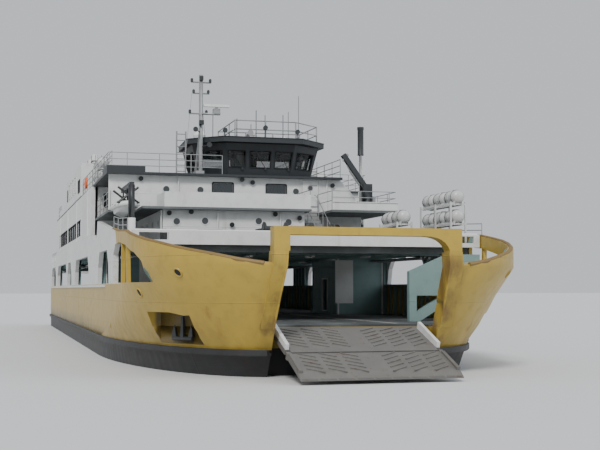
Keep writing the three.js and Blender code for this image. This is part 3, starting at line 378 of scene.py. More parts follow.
def mix_paints(scene):
    """Makes every finish of the ship once."""
    chosen = scene.ferry_paints
    hull, white, rust = tuple(chosen.hull), tuple(chosen.superstructure), tuple(chosen.rust)
    roof, bottom, inner = tuple(chosen.roof), tuple(chosen.bottom), tuple(chosen.inner)
    # painted shade in the anchor pockets, and real stains near the stems
    marks = (pocket_shade, stem_stains)
    PAINTS.update(
        yellow=weathered("hull_yellow", hull, rust, 0.4, marks=marks),
        bow=weathered("bow_yellow_and_white", hull, rust, 0.4, marks=(hull_split, *marks)),
        white=weathered("superstructure_white", white, rust, 0.3),
        fittings=plain_paint("fittings_white", white, wear=0.2),
        bottom=weathered("bottom_black", bottom, (0.09, 0.04, 0.02), 0.5, roughness=0.6),
        deck=deck_paint("deck_grey", tuple(chosen.deck)),
        lanes=deck_paint("vehicle_deck_grey", tint(chosen.deck, 0.8), lanes=True),
        inner=weathered("inner_teal", inner, rust, 0.3, roughness=0.55),
        roof=weathered("roof_dark", roof, (0.05, 0.03, 0.02), 0.3, roughness=0.5, plates=False),
        steel=plain_paint(
            "galvanised_steel", (0.33, 0.34, 0.345), 0.5, metallic=0.55, wear=0.5, worn=(0.15, 0.075, 0.035)
        ),
        ramp=plain_paint(
            "ramp_steel", (0.17, 0.165, 0.155), 0.6,
            metallic=0.35, wear=0.75, grain=0.08, worn=(0.14, 0.065, 0.03),
        ),
        dark=plain_paint("fittings_dark", (0.028, 0.031, 0.034), wear=0.35),
        rubber=plain_paint("rubber_black", (0.014, 0.014, 0.015), 0.75, wear=0.3, worn=(0.05, 0.045, 0.04)),
        canister=plain_paint("canister_white", (0.52, 0.53, 0.52), 0.3, wear=0.3, worn=(0.2, 0.19, 0.17)),
        # Dark brown all along the bow wings' rims.
        rim=plain_paint("dark_brown_rim", (0.2, 0.125, 0.035), 0.6, wear=0.7, worn=(0.07, 0.04, 0.025)),
        bronze=plain_paint(
            "bronze", (0.52, 0.3, 0.11), 0.32, metallic=0.95, wear=0.4, worn=(0.16, 0.2, 0.12)
        ),
        orange=plain_paint("lifebuoy_orange", tuple(chosen.lifebuoy), wear=0.2, worn=(0.4, 0.1, 0.03)),
        red=plain_paint("fire_red", (0.42, 0.025, 0.018), 0.4),
        green=plain_paint("box_green", (0.03, 0.13, 0.075)),
        wood=plain_paint("bench_wood", (0.2, 0.1, 0.045), 0.6, wear=0.3),
        rope=plain_paint("rope", (0.36, 0.31, 0.22), 0.85, wear=0.4, grain=0.03),
        glass=window_glass("window_glass", (0.02, 0.028, 0.032), 0.8),
        clear=window_glass("wheelhouse_glazing", (0.02, 0.03, 0.034), 0.22),
        lens=lamp_glow("lamp_lens", (0.75, 0.76, 0.72)),
    )


# Shapes.


def put_in_scene(name, data):
    """An object in the scene that shows a mesh, light or camera."""
    made = bpy.data.objects.new(name, data)
    bpy.context.scene.collection.objects.link(made)
    return made


def soften(mesh, angle=32):
    """Shades a mesh smooth, with sharp edges where its faces turn by more than angle."""
    mesh.polygons.foreach_set("use_smooth", [True] * len(mesh.polygons))
    mesh.set_sharp_from_angle(angle=math.radians(angle))


def circle(radius, sides, along=0.0):
    """Points round an upright axis, in the model's metres."""
    turns = [2 * math.pi * i / sides for i in range(sides)]
    return [Vector((radius * math.cos(turn), radius * math.sin(turn), along)) * SCALE for turn in turns]


class Stock:
    """Gathers plates, bars and turned work of one piece."""

    def __init__(self):
        self.points = []
        self.faces = []

    def rings(self, rings, closed=False):
        """A skin through rings of equal length; its ends are capped, or joined if it is closed."""
        n = len(rings[0])
        last = len(rings) - 1
        faces = [] if closed else [list(range(n))[::-1], [last * n + i for i in range(n)]]
        for r in range(len(rings) if closed else last):
            here, ahead = r * n, (r + 1) % len(rings) * n
            faces += [[here + i, here + (i + 1) % n, ahead + (i + 1) % n, ahead + i] for i in range(n)]
        start = len(self.points)
        self.points += [Vector(p) for ring in rings for p in ring]
        self.faces += [[start + i for i in face] for face in faces]
        return self

    def block(self, aft, port, up):
        (a0, a1), (p0, p1), (u0, u1) = sorted(aft), sorted(port), sorted(up)
        low = [at(a, p, u0) for a, p in ((a0, p0), (a1, p0), (a1, p1), (a0, p1))]
        return self.rings([low, [p + Vector((0, 0, (u1 - u0) * SCALE)) for p in low]])

    def side(self, outline, port):
        """A plate drawn from the side as (aft, up)."""
        return self.rings([[at(a, p, u) for a, u in outline] for p in port])

    def cross(self, outline, aft):
        """A plate drawn from ahead as (port, up)."""
        return self.rings([[at(a, p, u) for p, u in outline] for a in aft])

    def turned(self, centre, axis, profile, sides=12):
        """Lathe work about an axis through centre: profile is (along, radius)."""
        turn = Vector(axis).to_track_quat("Z", "Y")
        middle = at(*centre)
        return self.rings([[middle + turn @ p for p in circle(r, sides, along)] for along, r in profile])

    def bar(self, start, end, radius, sides=8):
        a, b = at(*start), at(*end)
        turn = (b - a).to_track_quat("Z", "Y")
        section = [turn @ p for p in circle(radius, sides)]
        return self.rings([[a + p for p in section], [b + p for p in section]])

    def wire(self, path, radius):
        """Thin straight bars from each place of a path to the next."""
        for start, end in zip(path, path[1:]):
            self.bar(start, end, radius, 6)

    def pipe(self, path, radius, sides=8):
        """A bent tube along a path."""
        points = [at(*p) for p in path]
        last = len(points) - 1
        rings = []
        for i, point in enumerate(points):
            ahead = (points[min(i + 1, last)] - points[max(i - 1, 0)]).normalized()
            if i == 0:
                turn = ahead.to_track_quat("Z", "Y")
            else:
                turn = (turn @ Vector(UPRIGHT)).rotation_difference(ahead) @ turn
            rings.append([point + turn @ p for p in circle(radius, sides)])
        return self.rings(rings)

    def hoop(self, centre, axis, wide, thin, count=20, sides=8):
        """A closed ring of round section: wide to the middle of the section, which is thin in radius."""
        turn = Vector(axis).to_track_quat("Z", "Y")
        middle = at(*centre)
        section = [2 * math.pi * j / sides for j in range(sides)]
        rings = []
        for i in range(count):
            around = 2 * math.pi * i / count
            ring = []
            for angle in section:
                reach = wide + thin * math.cos(angle)
                spot = Vector((reach * math.cos(around), reach * math.sin(around), thin * math.sin(angle)))
                ring.append(middle + turn @ (spot * SCALE))
            rings.append(ring)
        return self.rings(rings, closed=True)

    def mesh(self, name):
        made = bpy.data.meshes.new(name)
        made.from_pydata(self.points, [], self.faces)
        work = bmesh.new()
        work.from_mesh(made)
        bmesh.ops.recalc_face_normals(work, faces=work.faces)
        work.to_mesh(made)
        work.free()
        soften(made)
        return made

    def piece(self, name, finish, body="ship", bevel=0.0):
        """Shows what was gathered as one piece that rides on a body."""
        made = put_in_scene(name, self.mesh(name))
        made.data.materials.append(PAINTS[finish])
        if bevel:
            edge = made.modifiers.new("edge", "BEVEL")
            edge.width = bevel * SCALE
            edge.segments = 2
            edge.limit_method = "ANGLE"
        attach(made, body)
        return made


# Repeated fittings.


class Pattern:
    """A Geometry Nodes tree built from named inputs."""

    def __init__(self, name, **inputs):
        self.tree = bpy.data.node_groups.new(name, "GeometryNodeTree")
        for title, kind in {"Geometry": "Geometry", **inputs, "Finish": "Material"}.items():
            self.tree.interface.new_socket(title, in_out="INPUT", socket_type=f"NodeSocket{kind}")
        self.tree.interface.new_socket("Geometry", in_out="OUTPUT", socket_type="NodeSocketGeometry")
        self.given = self.tree.nodes.new("NodeGroupInput").outputs

    def node(self, kind, values, **settings):
        made = self.tree.nodes.new(kind)
        for key, value in settings.items():
            setattr(made, key, value)
        for key, value in values.items():
            socket = made.inputs[key]
            if isinstance(value, bpy.types.NodeSocket):
                self.tree.links.new(value, socket)
            else:
                socket.default_value = value
        return made.outputs

    def line(self, count, start, step):
        """Points in a straight line."""
        values = {"Count": count, "Start Location": start, "Offset": step}
        return self.node("GeometryNodeMeshLine", values, mode="OFFSET")[0]

    def place(self, points, shape, **values):
        """Copies of a shape at points."""
        values = {"Points": points, "Instance": shape, **values}
        return self.node("GeometryNodeInstanceOnPoints", values)[0]

    def lift(self, height, parts):
        """An upward step of a share of a height."""
        share = self.node("ShaderNodeMath", {0: height, 1: parts}, operation="DIVIDE")
        return self.node("ShaderNodeCombineXYZ", {"Z": share[0]})[0]

    def close(self, geometry):
        real = self.node("GeometryNodeRealizeInstances", {0: geometry})
        painted = self.node("GeometryNodeSetMaterial", {0: real[0], 2: self.given["Finish"]})
        output = self.tree.nodes.new("NodeGroupOutput")
        self.tree.links.new(painted[0], output.inputs[0])
        return self.tree


def row_pattern():
    """Equal blocks in a straight row, such as beams, frames and slats."""
    p = Pattern("row_of_bars", Count="Int", Start="Vector", Step="Vector", Size="Vector")
    line = p.line(p.given["Count"], p.given["Start"], p.given["Step"])
    cube = p.node("GeometryNodeMeshCube", {"Size": p.given["Size"]})
    return p.close(p.place(line, cube[0]))


def rail_pattern():
    """Posts and rails along a path."""
    p = Pattern("guard_rail", Height="Float", Spacing="Float", Radius="Float", Rails="Int")
    height, radius, rails = p.given["Height"], p.given["Radius"], p.given["Rails"]
    path = p.node("GeometryNodeMeshToCurve", {0: p.given["Geometry"]})
    section = p.node("GeometryNodeCurvePrimitiveCircle", {"Resolution": 6, "Radius": radius})
    tube = p.node("GeometryNodeCurveToMesh", {0: path[0], 1: section[0]})
    step = p.lift(height, rails)
    levels = p.line(rails, step, step)
    spread = {"Curve": path[0], "Length": p.given["Spacing"]}
    feet = p.node("GeometryNodeResampleCurve", spread, mode="LENGTH")
    post = p.node("GeometryNodeMeshCylinder", {"Vertices": 6, "Radius": radius, "Depth": height})
    raised = {"Geometry": post[0], "Translation": p.lift(height, 2.0)}
    stood = p.node("GeometryNodeTransform", raised)
    fence = p.tree.nodes.new("GeometryNodeJoinGeometry")
    for made in (p.place(levels, tube[0]), p.place(feet[0], stood[0])):
        p.tree.links.new(made, fence.inputs[0])
    return p.close(fence.outputs[0])


def copies_pattern():
    """Copies of one fitting at a mesh's points, each turned by its point's own value."""
    p = Pattern("fitting_copies", Fitting="Object")
    shape = p.node("GeometryNodeObjectInfo", {"Object": p.given["Fitting"]})
    turn = p.node("GeometryNodeInputNamedAttribute", {"Name": "turn"}, data_type="FLOAT_VECTOR")
    return p.close(p.place(p.given["Geometry"], shape["Geometry"], Rotation=turn[0]))


PATTERNS = {}


def settle(name, finish, mesh, pattern, body, **values):
    """Runs a pattern once and keeps its result as a plain mesh that rides on a body."""
    if pattern.__name__ not in PATTERNS:
        PATTERNS[pattern.__name__] = pattern()
    values["Finish"] = PAINTS[finish]
    source = put_in_scene(name + "_source", mesh)
    modifier = source.modifiers.new("pattern", "NODES")
    modifier.node_group = PATTERNS[pattern.__name__]
    for item in modifier.node_group.interface.items_tree:
        if item.item_type == "SOCKET" and item.in_out == "INPUT" and item.name in values:
            modifier[item.identifier] = values[item.name]
    bpy.context.view_layer.update()
    evaluated = source.evaluated_get(bpy.context.evaluated_depsgraph_get())
    made = bpy.data.meshes.new_from_object(evaluated)
    bpy.data.objects.remove(source)
    made.name = name
    soften(made)
    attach(put_in_scene(name, made), body)


def row(name, finish, count, start, step, size, body="ship"):
    """count blocks from start on, each step further; size is along the ship, across it and up."""
    move = Vector((-step[0], step[1], step[2])) * SCALE
    values = {"Count": int(count), "Start": at(*start), "Step": move, "Size": Vector(size) * SCALE}
    settle(name, finish, bpy.data.meshes.new(name), row_pattern, body, **values)


def rail(name, path, height=None, rails=3):
    """A guard rail of the ship along a path at the foot of its posts."""
    sizes = bpy.context.scene.ferry_sizes
    mesh = bpy.data.meshes.new(name)
    mesh.from_pydata([at(*p) for p in path], [(i, i + 1) for i in range(len(path) - 1)], [])
    values = {
        "Height": (height or sizes.rail_height) * SCALE, "Spacing": sizes.post_spacing * SCALE,
        "Radius": sizes.rail_radius * SCALE, "Rails": rails,
    }
    settle(name, "steel", mesh, rail_pattern, "ship", **values)


def copies(name, finish, fitting, places, body="ship"):
    """Copies of a fitting: places are (aft, port, up), with a turn in degrees after it if they differ."""
    mesh = bpy.data.meshes.new(name)
    mesh.from_pydata([at(*p[:3]) for p in places], [], [])
    turns = mesh.attributes.new("turn", "FLOAT_VECTOR", "POINT")
    for i, p in enumerate(places):
        turns.data[i].vector = [math.radians(v) for v in (p[3] if len(p) > 3 else (0, 0, 0))]
    shape = put_in_scene(name + "_fitting", fitting.mesh(name + "_fitting"))
    shape.data.transform(Matrix.Translation(-at(0, 0, 0)))
    settle(name, finish, mesh, copies_pattern, body, Fitting=shape)
    bpy.data.objects.remove(shape)


def both(build):
    """Calls build for the port side (+1) and the starboard side (-1)."""
    for side, word in ((1, "port"), (-1, "starboard")):
        build(side, word)


# Hull form.

BOW_LINES = [  # up, stem, run of the bow curve
    (-2.5, 6.5, 20), (-1.9, 4.6, 19), (-0.8, 3.3, 18), (0, 2.7, 17), (1.1, 2.0, 16),
    (1.95, 1.45, 12.15), (3.2, 0.75, 9.6), (4.4, 0, 7), (7.4, 0, 7),
]
RIM = [  # aft, up
    (0, 4.4), (0.6, 4.62), (1.2, 4.82), (2.1, 5.02), (3.4, 5.3), (5.6, 5.66),
    (8, 6.0), (11, 6.15), (13.65, 6.4),
]
STEM_HALF = 3.0  # half width at which the bow's curve starts
STEM_HEAD = 4.95
BOW_GAP_HALF = 3.45  # half width of the bow opening at its foot; it narrows by POST_LEAN at the stem heads
BOW_GAP_FOOT = 1.95
POST_LEAN = 0.18
STRAKE_CENTRE = 18.1  # where the rubbing strake's curve meets the side, measured aft
STRAKE_REACH = 16.1
STRAKE_START = 0.11  # angle round the bow at which the strake begins
STRAKE_STEPS = 48
STRAKE_FOOT = 0.85
STRAKE_TOP = 1.12


def half_breadth(aft, up, inset=0.0):
    """Half width of the bow at a height, inside its shell by inset."""
    rows = [r for r in zip(BOW_LINES, BOW_LINES[1:]) if r[0][0] <= up <= r[1][0]]
    low, high = rows[0] if rows else (BOW_LINES[-2], BOW_LINES[-1])
    share = (up - low[0]) / (high[0] - low[0])
    stem = low[1] + share * (high[1] - low[1])
    run = low[2] + share * (high[2] - low[2])
    if aft >= stem + run:
        return SHELL - inset
    turn = math.acos(max(-1, min(1, (stem + run - aft) / (run - inset))))
    return STEM_HALF + (SHELL - STEM_HALF - inset) * math.sin(turn)


def rim_up(aft):
    """Height of the bow wings' rim."""
    for (a0, u0), (a1, u1) in zip(RIM, RIM[1:]):
        if aft <= a1:
            return u0 + (u1 - u0) * (aft - a0) / (a1 - a0)
    return RIM[-1][1]


def rim_point(aft, side, drop=0.0):
    """A place on the middle of the rim, or drop below it."""
    return aft, side * (half_breadth(aft, rim_up(aft)) - 0.12), rim_up(aft) - drop


def bow_normal(aft, side, up):
    """Direction that the bow's outer skin faces, in the model's frame."""
    reach = 0.06
    along = (half_breadth(aft + reach, up) - half_breadth(aft - reach, up)) / (2 * reach)
    upward = (half_breadth(aft, up + reach) - half_breadth(aft, up - reach)) / (2 * reach)
    return Vector((along, side, -upward)).normalized()


def smooth_bow(mesh):
    """Shades the bow's plating by its true curve instead of by its flat faces."""
    bow_length = 20
    lean = math.cos(math.radians(35))
    normals = [Vector(corner.vector) for corner in mesh.corner_normals]
    for face in mesh.polygons:
        x, y, z = face.center / SCALE
        if z < STRAKE_TOP or abs(y) < STEM_HALF + 0.02 or MIDSHIPS - x > bow_length:
            continue
        facing = face.normal.dot(bow_normal(MIDSHIPS - x, math.copysign(1, y), z))
        if abs(facing) < lean:
            continue
        for loop in face.loop_indices:
            px, py, pz = mesh.vertices[mesh.loops[loop].vertex_index].co / SCALE
            normals[loop] = bow_normal(MIDSHIPS - px, math.copysign(1, py), pz) * math.copysign(1, facing)
    mesh.normals_split_custom_set(normals)


# Painting the solids.

CURVED_SOLIDS = {  # by finish: solids whose curved plating is shown as one smooth skin
    "bottom": "hull_lower rudder_port rudder_starboard",
    "yellow": "hull_upper portal_beam",
    "bow": "bow_wing_port bow_wing_starboard",
    "white": "funnel_casing_port funnel_casing_starboard",
    "inner": "stair_trunk_port stair_trunk_starboard",
    "canister": "raft_rack_port raft_rack_inner raft_rack_starboard",
    "fittings": "crane_pedestal davit_pedestal derrick_post radar_scanner",
    "dark": "crane_column mooring_winch rescue_davit",
    "steel": "mast roof_rail",
    "bronze": "propeller_port propeller_starboard",
}
FLAT_SOLIDS = {  # by finish; the rest are white
    "lanes": "car_deck",
    "deck": "passenger_deck boat_deck",
    "roof": "bridge_deck wheelhouse wheelhouse_roof",
    "inner": "wing_frame_port wing_frame_starboard",
    "glass": "lounge_glass_port lounge_glass_starboard",
    "clear": "wheelhouse_glass",
    "dark": "wheelhouse_console crane_boom anchor_port anchor_starboard",
    "steel": "mast_ladder front_stair",
    "ramp": "bow_ramp_inner bow_ramp_outer stern_ramp",
    "canister": "rescue_boat",
}


def by_node(finishes):
    return {node: finish for finish, nodes in finishes.items() for node in nodes.split()}


def paint_solids():
    """Gives every solid its finish; curved ones are shown as a smooth-shaded copy of the same faces."""
    bodies = frame["record"]["behaviour"]["bodies"]
    home = {node: body for body, nodes in bodies.items() for node in nodes}
    curved, flat = by_node(CURVED_SOLIDS), by_node(FLAT_SOLIDS)
    for node, solid in frame["nodes"].items():
        finish = PAINTS[curved.get(node) or flat.get(node, "white")]
        if node in curved:
            skin = solid.data.copy()
            work = bmesh.new()
            work.from_mesh(skin)
            bmesh.ops.remove_doubles(work, verts=work.verts, dist=0.00005)
            work.to_mesh(skin)
            work.free()
            skin.name = node + "_skin"
            soften(skin, 28)
            if node.startswith(("hull_upper", "bow_wing")):
                smooth_bow(skin)
            skin.materials.clear()
            skin.materials.append(finish)
            shown = put_in_scene(node + "_skin", skin)
            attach(shown, home[node])
            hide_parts(node)
        solid.data.materials.clear()
        solid.data.materials.append(finish)


# Rails.

SIDE_RAIL = 8.38  # how far out the rails along the ship's sides stand
DECK_RAILS = [  # name, deck, number of rails, corners as (aft, port)
    ("bridge_deck_rail_port", BRIDGE_DECK, 3, [
        (17.3, 4.3), (24.9, 4.3), (24.95, SIDE_RAIL), (32.9, SIDE_RAIL),
    ]),
    ("bridge_deck_rail_starboard", BRIDGE_DECK, 3, [(17.3, -2.3), (17.3, -8.3), (19.7, -8.3)]),
    ("bridge_deck_rail_side", BRIDGE_DECK, 3, [(19.7, -8.3), (32.9, -SIDE_RAIL)]),
    ("bridge_deck_rail_aft", BRIDGE_DECK, 3, [
        (56.1, SIDE_RAIL), (59.9, SIDE_RAIL), (59.9, -SIDE_RAIL), (56.1, -SIDE_RAIL),
    ]),
    ("boat_deck_rail_port", BOAT_DECK, 3, [(14.6, 2.98), (14.6, 6.5), (21, 6.5), (25.0, 8.15)]),
    ("boat_deck_rail_hatch", BOAT_DECK, 2, [(14.6, 1.8), (17.3, 1.8)]),
    ("boat_deck_rail_hatch_port", BOAT_DECK, 2, [(14.6, 3.0), (17.3, 3.0)]),
    ("boat_deck_rail_starboard", BOAT_DECK, 3, [(17.6, -8.15), (24.9, -8.15)]),
    ("passenger_deck_rail_aft", PASSENGER_DECK, 3, [(68.5, -8.15), (68.5, 8.15)]),
]


def build_rails():
    for name, deck, rails, corners in DECK_RAILS:
        rail(name, [(aft, port, deck) for aft, port in corners], rails=rails)

    def sides(side, word):
        path = [rim_point(aft, side, 0.02) for aft in (8.0, 9.5, 11.0, 12.3, 13.6)]
        rail(f"wing_rail_{word}", path, height=0.62, rails=2)
        for name, start, end, port, up, height, rails in (
            ("aft_bulwark_rail", 60.3, 69.2, SIDE_RAIL, 6.48, 0.35, 1),
            ("casing_rail", 33.1, 47.8, 6.5, 11.74, 0.9, 3),
        ):
            rail(f"{name}_{word}", [(start, side * port, up), (end, side * port, up)], height, rails)

    both(sides)


# Windows.


def portlight():
    """Frame of a round window, facing forward from the origin."""
    face = Stock().hoop((0, 0, 0), AHEAD, 0.19, 0.032, 18, 6)
    return face.turned((0, 0, 0), AHEAD, [(-0.03, 0.19), (0.012, 0.19)], 18)


def glass_disc():
    return Stock().turned((0, 0, 0), AHEAD, [(0.0, 0.17), (0.022, 0.17)], 18)


def square_window(wide, high):
    """Frame of a square window with round corners, facing forward from the origin."""
    radius = 0.09
    corners = []
    for y, z, start in ((1, 1, 0), (-1, 1, 90), (-1, -1, 180), (1, -1, 270)):
        for angle in (math.radians(start + step) for step in (0, 30, 60, 90)):
            across = y * (wide / 2 - radius) + radius * math.cos(angle)
            corners.append((across, z * (high / 2 - radius) + radius * math.sin(angle)))
    rings = []
    for depth, grow in ((-0.02, 0.0), (0.03, 0.0), (0.03, 0.055), (-0.02, 0.055)):
        spots = [(depth, y * (1 + 2 * grow / wide), z * (1 + 2 * grow / high)) for y, z in corners]
        rings.append([Vector(spot) * SCALE + at(0, 0, 0) for spot in spots])
    return Stock().rings(rings, closed=True)


def square_pane(wide, high):
    half, tall = wide / 2 - 0.01, high / 2 - 0.01
    return Stock().block((-0.012, 0.0), (-half, half), (-tall, tall))


AFT = (0, 0, 180)  # turns of fittings that face ahead when they aren't turned
PORT = (0, 0, 90)
STARBOARD = (0, 0, -90)
PORTLIGHTS = [  # aft, port, up, and the turn where there is one
    *[(LOWER_FRONT, port, up) for port, up in ((-3.65, 6.95), (-0.85, 6.98), (0.74, 6.95), (-5.1, 6.9))],
    *[(UPPER_FRONT, port, up) for port, up in ((-5.24, 8.76), (-3.42, 8.76), (1.85, 8.8))], (18.2, 4.4, 6.9),
    *[(aft, -5.8, 6.9, STARBOARD) for aft in (16.5, 18.6, 20.7, 22.8)],
    *[(aft, 5.8, 6.9, PORT) for aft in (20.2, 22.2, 24.0)],
    (25, 7.0, 6.7), (25, -7.0, 6.7), (HOUSE_BACK, 6.6, 6.75, AFT), (HOUSE_BACK, -6.6, 6.75, AFT),
]
WALL_WINDOWS = [  # the same
    (UPPER_FRONT, 0.75, 8.78), (UPPER_FRONT, -2.2, 8.8),
    *[(aft, -6.2, 8.7, STARBOARD) for aft in (19.4, 21.4, 23.4)],
    *[(aft, 4.3, 8.7, PORT) for aft in (19.4, 21.4, 23.4)],
    *[(HOUSE_BACK, port, 8.7, AFT) for port in (-6.9, -5.1, -3.3, -1.1, 1.1, 3.3, 5.1, 6.9)],
    *[(HOUSE_BACK, port, 6.75, AFT) for port in (-1.9, 0, 1.9)],
    (25.2, 6.4, 8.7), (25.2, -7.2, 8.7),
]


def build_windows():
    copies("portlight_frames", "fittings", portlight(), PORTLIGHTS)
    copies("portlight_glass", "glass", glass_disc(), PORTLIGHTS)
    copies("window_frames", "rubber", square_window(1.1, 0.72), WALL_WINDOWS)
    copies("window_panes", "glass", square_pane(1.1, 0.72), WALL_WINDOWS)

    def sides(side, word):
        turn = PORT if side > 0 else STARBOARD
        edge, mullion = (44.5, side * 8.46, 6.985), (33.0, side * 8.44, 7.5)
        row(f"lounge_mullions_{word}", "rubber", 13, mullion, (23 / 12, 0, 0), (0.09, 0.08, 1.0))
        row(f"lounge_window_edges_{word}", "rubber", 2, edge, (0, 0, 1.03), (23.1, 0.1, 0.045))
        casing = [(aft, side * SHELL, up, turn) for aft, up in ((34.2, 10.35), (35.2, 10.35), (46.0, 10.6))]
        copies(f"casing_window_frames_{word}", "rubber", square_window(0.5, 0.8), casing)
        copies(f"casing_window_panes_{word}", "glass", square_pane(0.5, 0.8), casing)

    both(sides)


# Wheelhouse.

WHEELHOUSE_PLAN = [  # aft and port of each wall corner at its foot, then at its top
    (18.4, 1.75, 18.0, 1.92), (19.4, 3.15, 19.2, 3.6), (22.4, 3.15, 22.4, 3.6),
]
WHEELHOUSE_TOP = 11.4
ROOF_LINE = [  # aft and port, all the way round
    (17.4, -2.2), (19.1, -3.9), (22.8, -3.75), (22.8, 3.75), (19.1, 3.9), (17.4, 2.2), (17.4, -2.2),
]
ROOF_AERIALS = [  # aft, port, height of the tip, radius
    (19, -1.14, 12.9, 0.022), (19, -0.05, 13.4, 0.022), (19, 0.46, 13.15, 0.02), (19, 1.49, 13.2, 0.022),
    (19.2, 2.45, 14.35, 0.014), (22.0, -1.9, 13.6, 0.02), (22.0, 2.6, 13.9, 0.016), (22.2, 0.4, 13.1, 0.02),
]
ROOF_DOMES = [  # aft, port, sides, profile as (height, radius)
    (21.9, -2.7, 16, [
        (0, 0.1), (0.3, 0.1), (0.32, 0.26), (0.45, 0.34),
        (0.62, 0.36), (0.8, 0.27), (0.9, 0.12), (0.93, 0.02),
    ]),
    (21.6, 2.2, 14, [
        (0, 0.06), (0.4, 0.06), (0.42, 0.15), (0.5, 0.2), (0.6, 0.17), (0.68, 0.08), (0.7, 0.02),
    ]),
    (20.4, 0, 14, [(0, 0.2), (0.5, 0.17), (0.52, 0.24), (0.62, 0.24), (0.72, 0.16), (0.78, 0.05)]),
]


def wheelhouse_corner(index, side, up):
    """A place on a wall corner's edge, a little outside the leaning walls."""
    out = 0.012
    a0, p0, a1, p1 = WHEELHOUSE_PLAN[index]
    share = (up - BRIDGE_DECK) / (WHEELHOUSE_TOP - BRIDGE_DECK)
    away = out if index < 2 else -out
    return a0 + share * (a1 - a0) - away, side * (p0 + share * (p1 - p0) + out * 0.8)


def gasket(stock, first, second, start, end):
    """A rubber edge round one opening, between two shares of the wall from one corner to another."""
    sill, head = 10.12, 11.0
    loop = []
    for share, up in ((start, sill), (end, sill), (end, head), (start, head), (start, sill)):
        a, b = wheelhouse_corner(*first, up), wheelhouse_corner(*second, up)
        loop.append((a[0] + (b[0] - a[0]) * share, a[1] + (b[1] - a[1]) * share, up))
    stock.wire(loop, 0.03)


def build_window_seals():
    """Rubber edges round the openings of the leaning walls."""
    seals = Stock()
    side_start, side_length, back_width = 19.29, 3.11, 6.78  # of the walls at the windows' height
    for start, end in ((0.018, 0.276), (0.344, 0.656), (0.724, 0.982)):
        gasket(seals, (0, -1), (0, 1), start, end)
    for side in (1, -1):
        gasket(seals, (0, side), (1, side), 0.154, 0.864)
        for middle in (20.2, 21.6):
            share = (middle - side_start) / side_length
            gasket(seals, (1, side), (2, side), share - 0.185, share + 0.185)
    for middle in (-1.75, 1.75):
        start, end = 0.5 + (middle - 1.0) / back_width, 0.5 + (middle + 1.0) / back_width
        gasket(seals, (2, -1), (2, 1), start, end)
    seals.piece("wheelhouse_window_seals", "rubber")


def build_wipers():
    wipers = Stock()
    for port in (-1.3, 0, 1.3):
        wipers.bar((18.24, port + 0.3, 10.08), (18.1, port - 0.15, 10.75), 0.015, 6)
        wipers.bar((18.14, port - 0.18, 10.5), (18.05, port - 0.13, 10.95), 0.018, 6)
        wipers.block((18.2, 18.3), (port + 0.25, port + 0.35), (10.0, 10.1))
    wipers.piece("window_wipers", "dark")


def build_roof_gear():
    """Aerials, searchlights, domes and horn."""
    top = WHEELHOUSE_ROOF
    aerials = Stock()
    for aft, port, tip, radius in ROOF_AERIALS:
        aerials.bar((aft, port, top), (aft, port, tip), radius, 6)
        aerials.turned((aft, port, top), UPRIGHT, [(0.0, 0.07), (0.04, 0.07), (0.12, 0.035), (0.35, 0.03)], 8)
    aerials.piece("roof_aerials", "dark")

    lamps, glow = Stock(), Stock()
    for aft, port, up in ((17.85, -2.05, 12.05), (17.7, 0.15, 12.24), (17.85, 2.0, 12.1)):
        lamps.turned((aft, port, up), AHEAD, [(-0.16, 0.04), (-0.12, 0.1), (0.06, 0.13), (0.12, 0.13)], 14)
        lamps.bar((aft + 0.02, port, top), (aft + 0.02, port, up), 0.03, 6)
        glow.turned((aft, port, up), AHEAD, [(0.118, 0.1), (0.13, 0.09), (0.14, 0.03)], 14)
    lamps.piece("roof_searchlights", "dark")
    glow.piece("searchlight_lenses", "glass")

    domes = Stock()
    for aft, port, sides, profile in ROOF_DOMES:
        domes.turned((aft, port, top), UPRIGHT, profile, sides)
    domes.piece("roof_domes", "fittings")

    horn = Stock()
    bell = [(-0.5, 0.04), (0.0, 0.05), (0.25, 0.09), (0.36, 0.17), (0.37, 0.17)]
    horn.turned((17.9, -0.7, top + 0.25), AHEAD, bell)
    horn.block((18.1, 18.3), (-0.78, -0.62), (top, top + 0.2))
    horn.piece("roof_horn", "steel")


def build_wheelhouse():
    build_window_seals()
    trim = Stock()
    trim.wire([(aft, port, WHEELHOUSE_ROOF) for aft, port in ROOF_LINE], 0.03)
    trim.piece("wheelhouse_roof_edge", "dark")
    build_wipers()
    build_roof_gear()


# Mast.


def build_mast():
    aft, port, top = 17.95, -3.35, 15.0
    gear = Stock()
    lantern = [(0.0, 0.03), (0.03, 0.075), (0.17, 0.075), (0.2, 0.05), (0.22, 0.02)]
    for up, reach, shift in ((14.6, 0.5, 0), (14.0, 0.4, 0), (12.9, 0.45, -0.15)):
        for side in (-1, 1):
            gear.turned((aft, port + shift + side * reach, up), UPRIGHT, lantern, 10)
    gear.block((aft - 0.2, aft - 0.05), (port - 0.1, port + 0.1), (top - 0.3, top - 0.08))
    gear.block((aft - 0.3, aft - 0.05), (port - 0.12, port + 0.12), (12.3, 12.52))
    for shift, up in ((-0.35, 12.0), (0.4, 11.2)):
        lamp = (aft - 0.28, port + shift, up)
        gear.turned(lamp, AHEAD, [(-0.2, 0.05), (0, 0.1), (0.12, 0.14), (0.14, 0.14)])
        gear.bar((aft - 0.3, port + shift, up), (aft, port, up - 0.1), 0.03, 6)
    gear.piece("mast_lights", "dark")
    lines = Stock()
    lines.bar((aft + 0.1, port - 0.9, BRIDGE_DECK), (aft, port - 0.5, 14.0), 0.012, 5)
    lines.bar((aft + 1.9, port + 0.6, WHEELHOUSE_ROOF), (aft, port, 14.3), 0.012, 5)
    lines.piece("mast_lines", "steel")


# Doors.

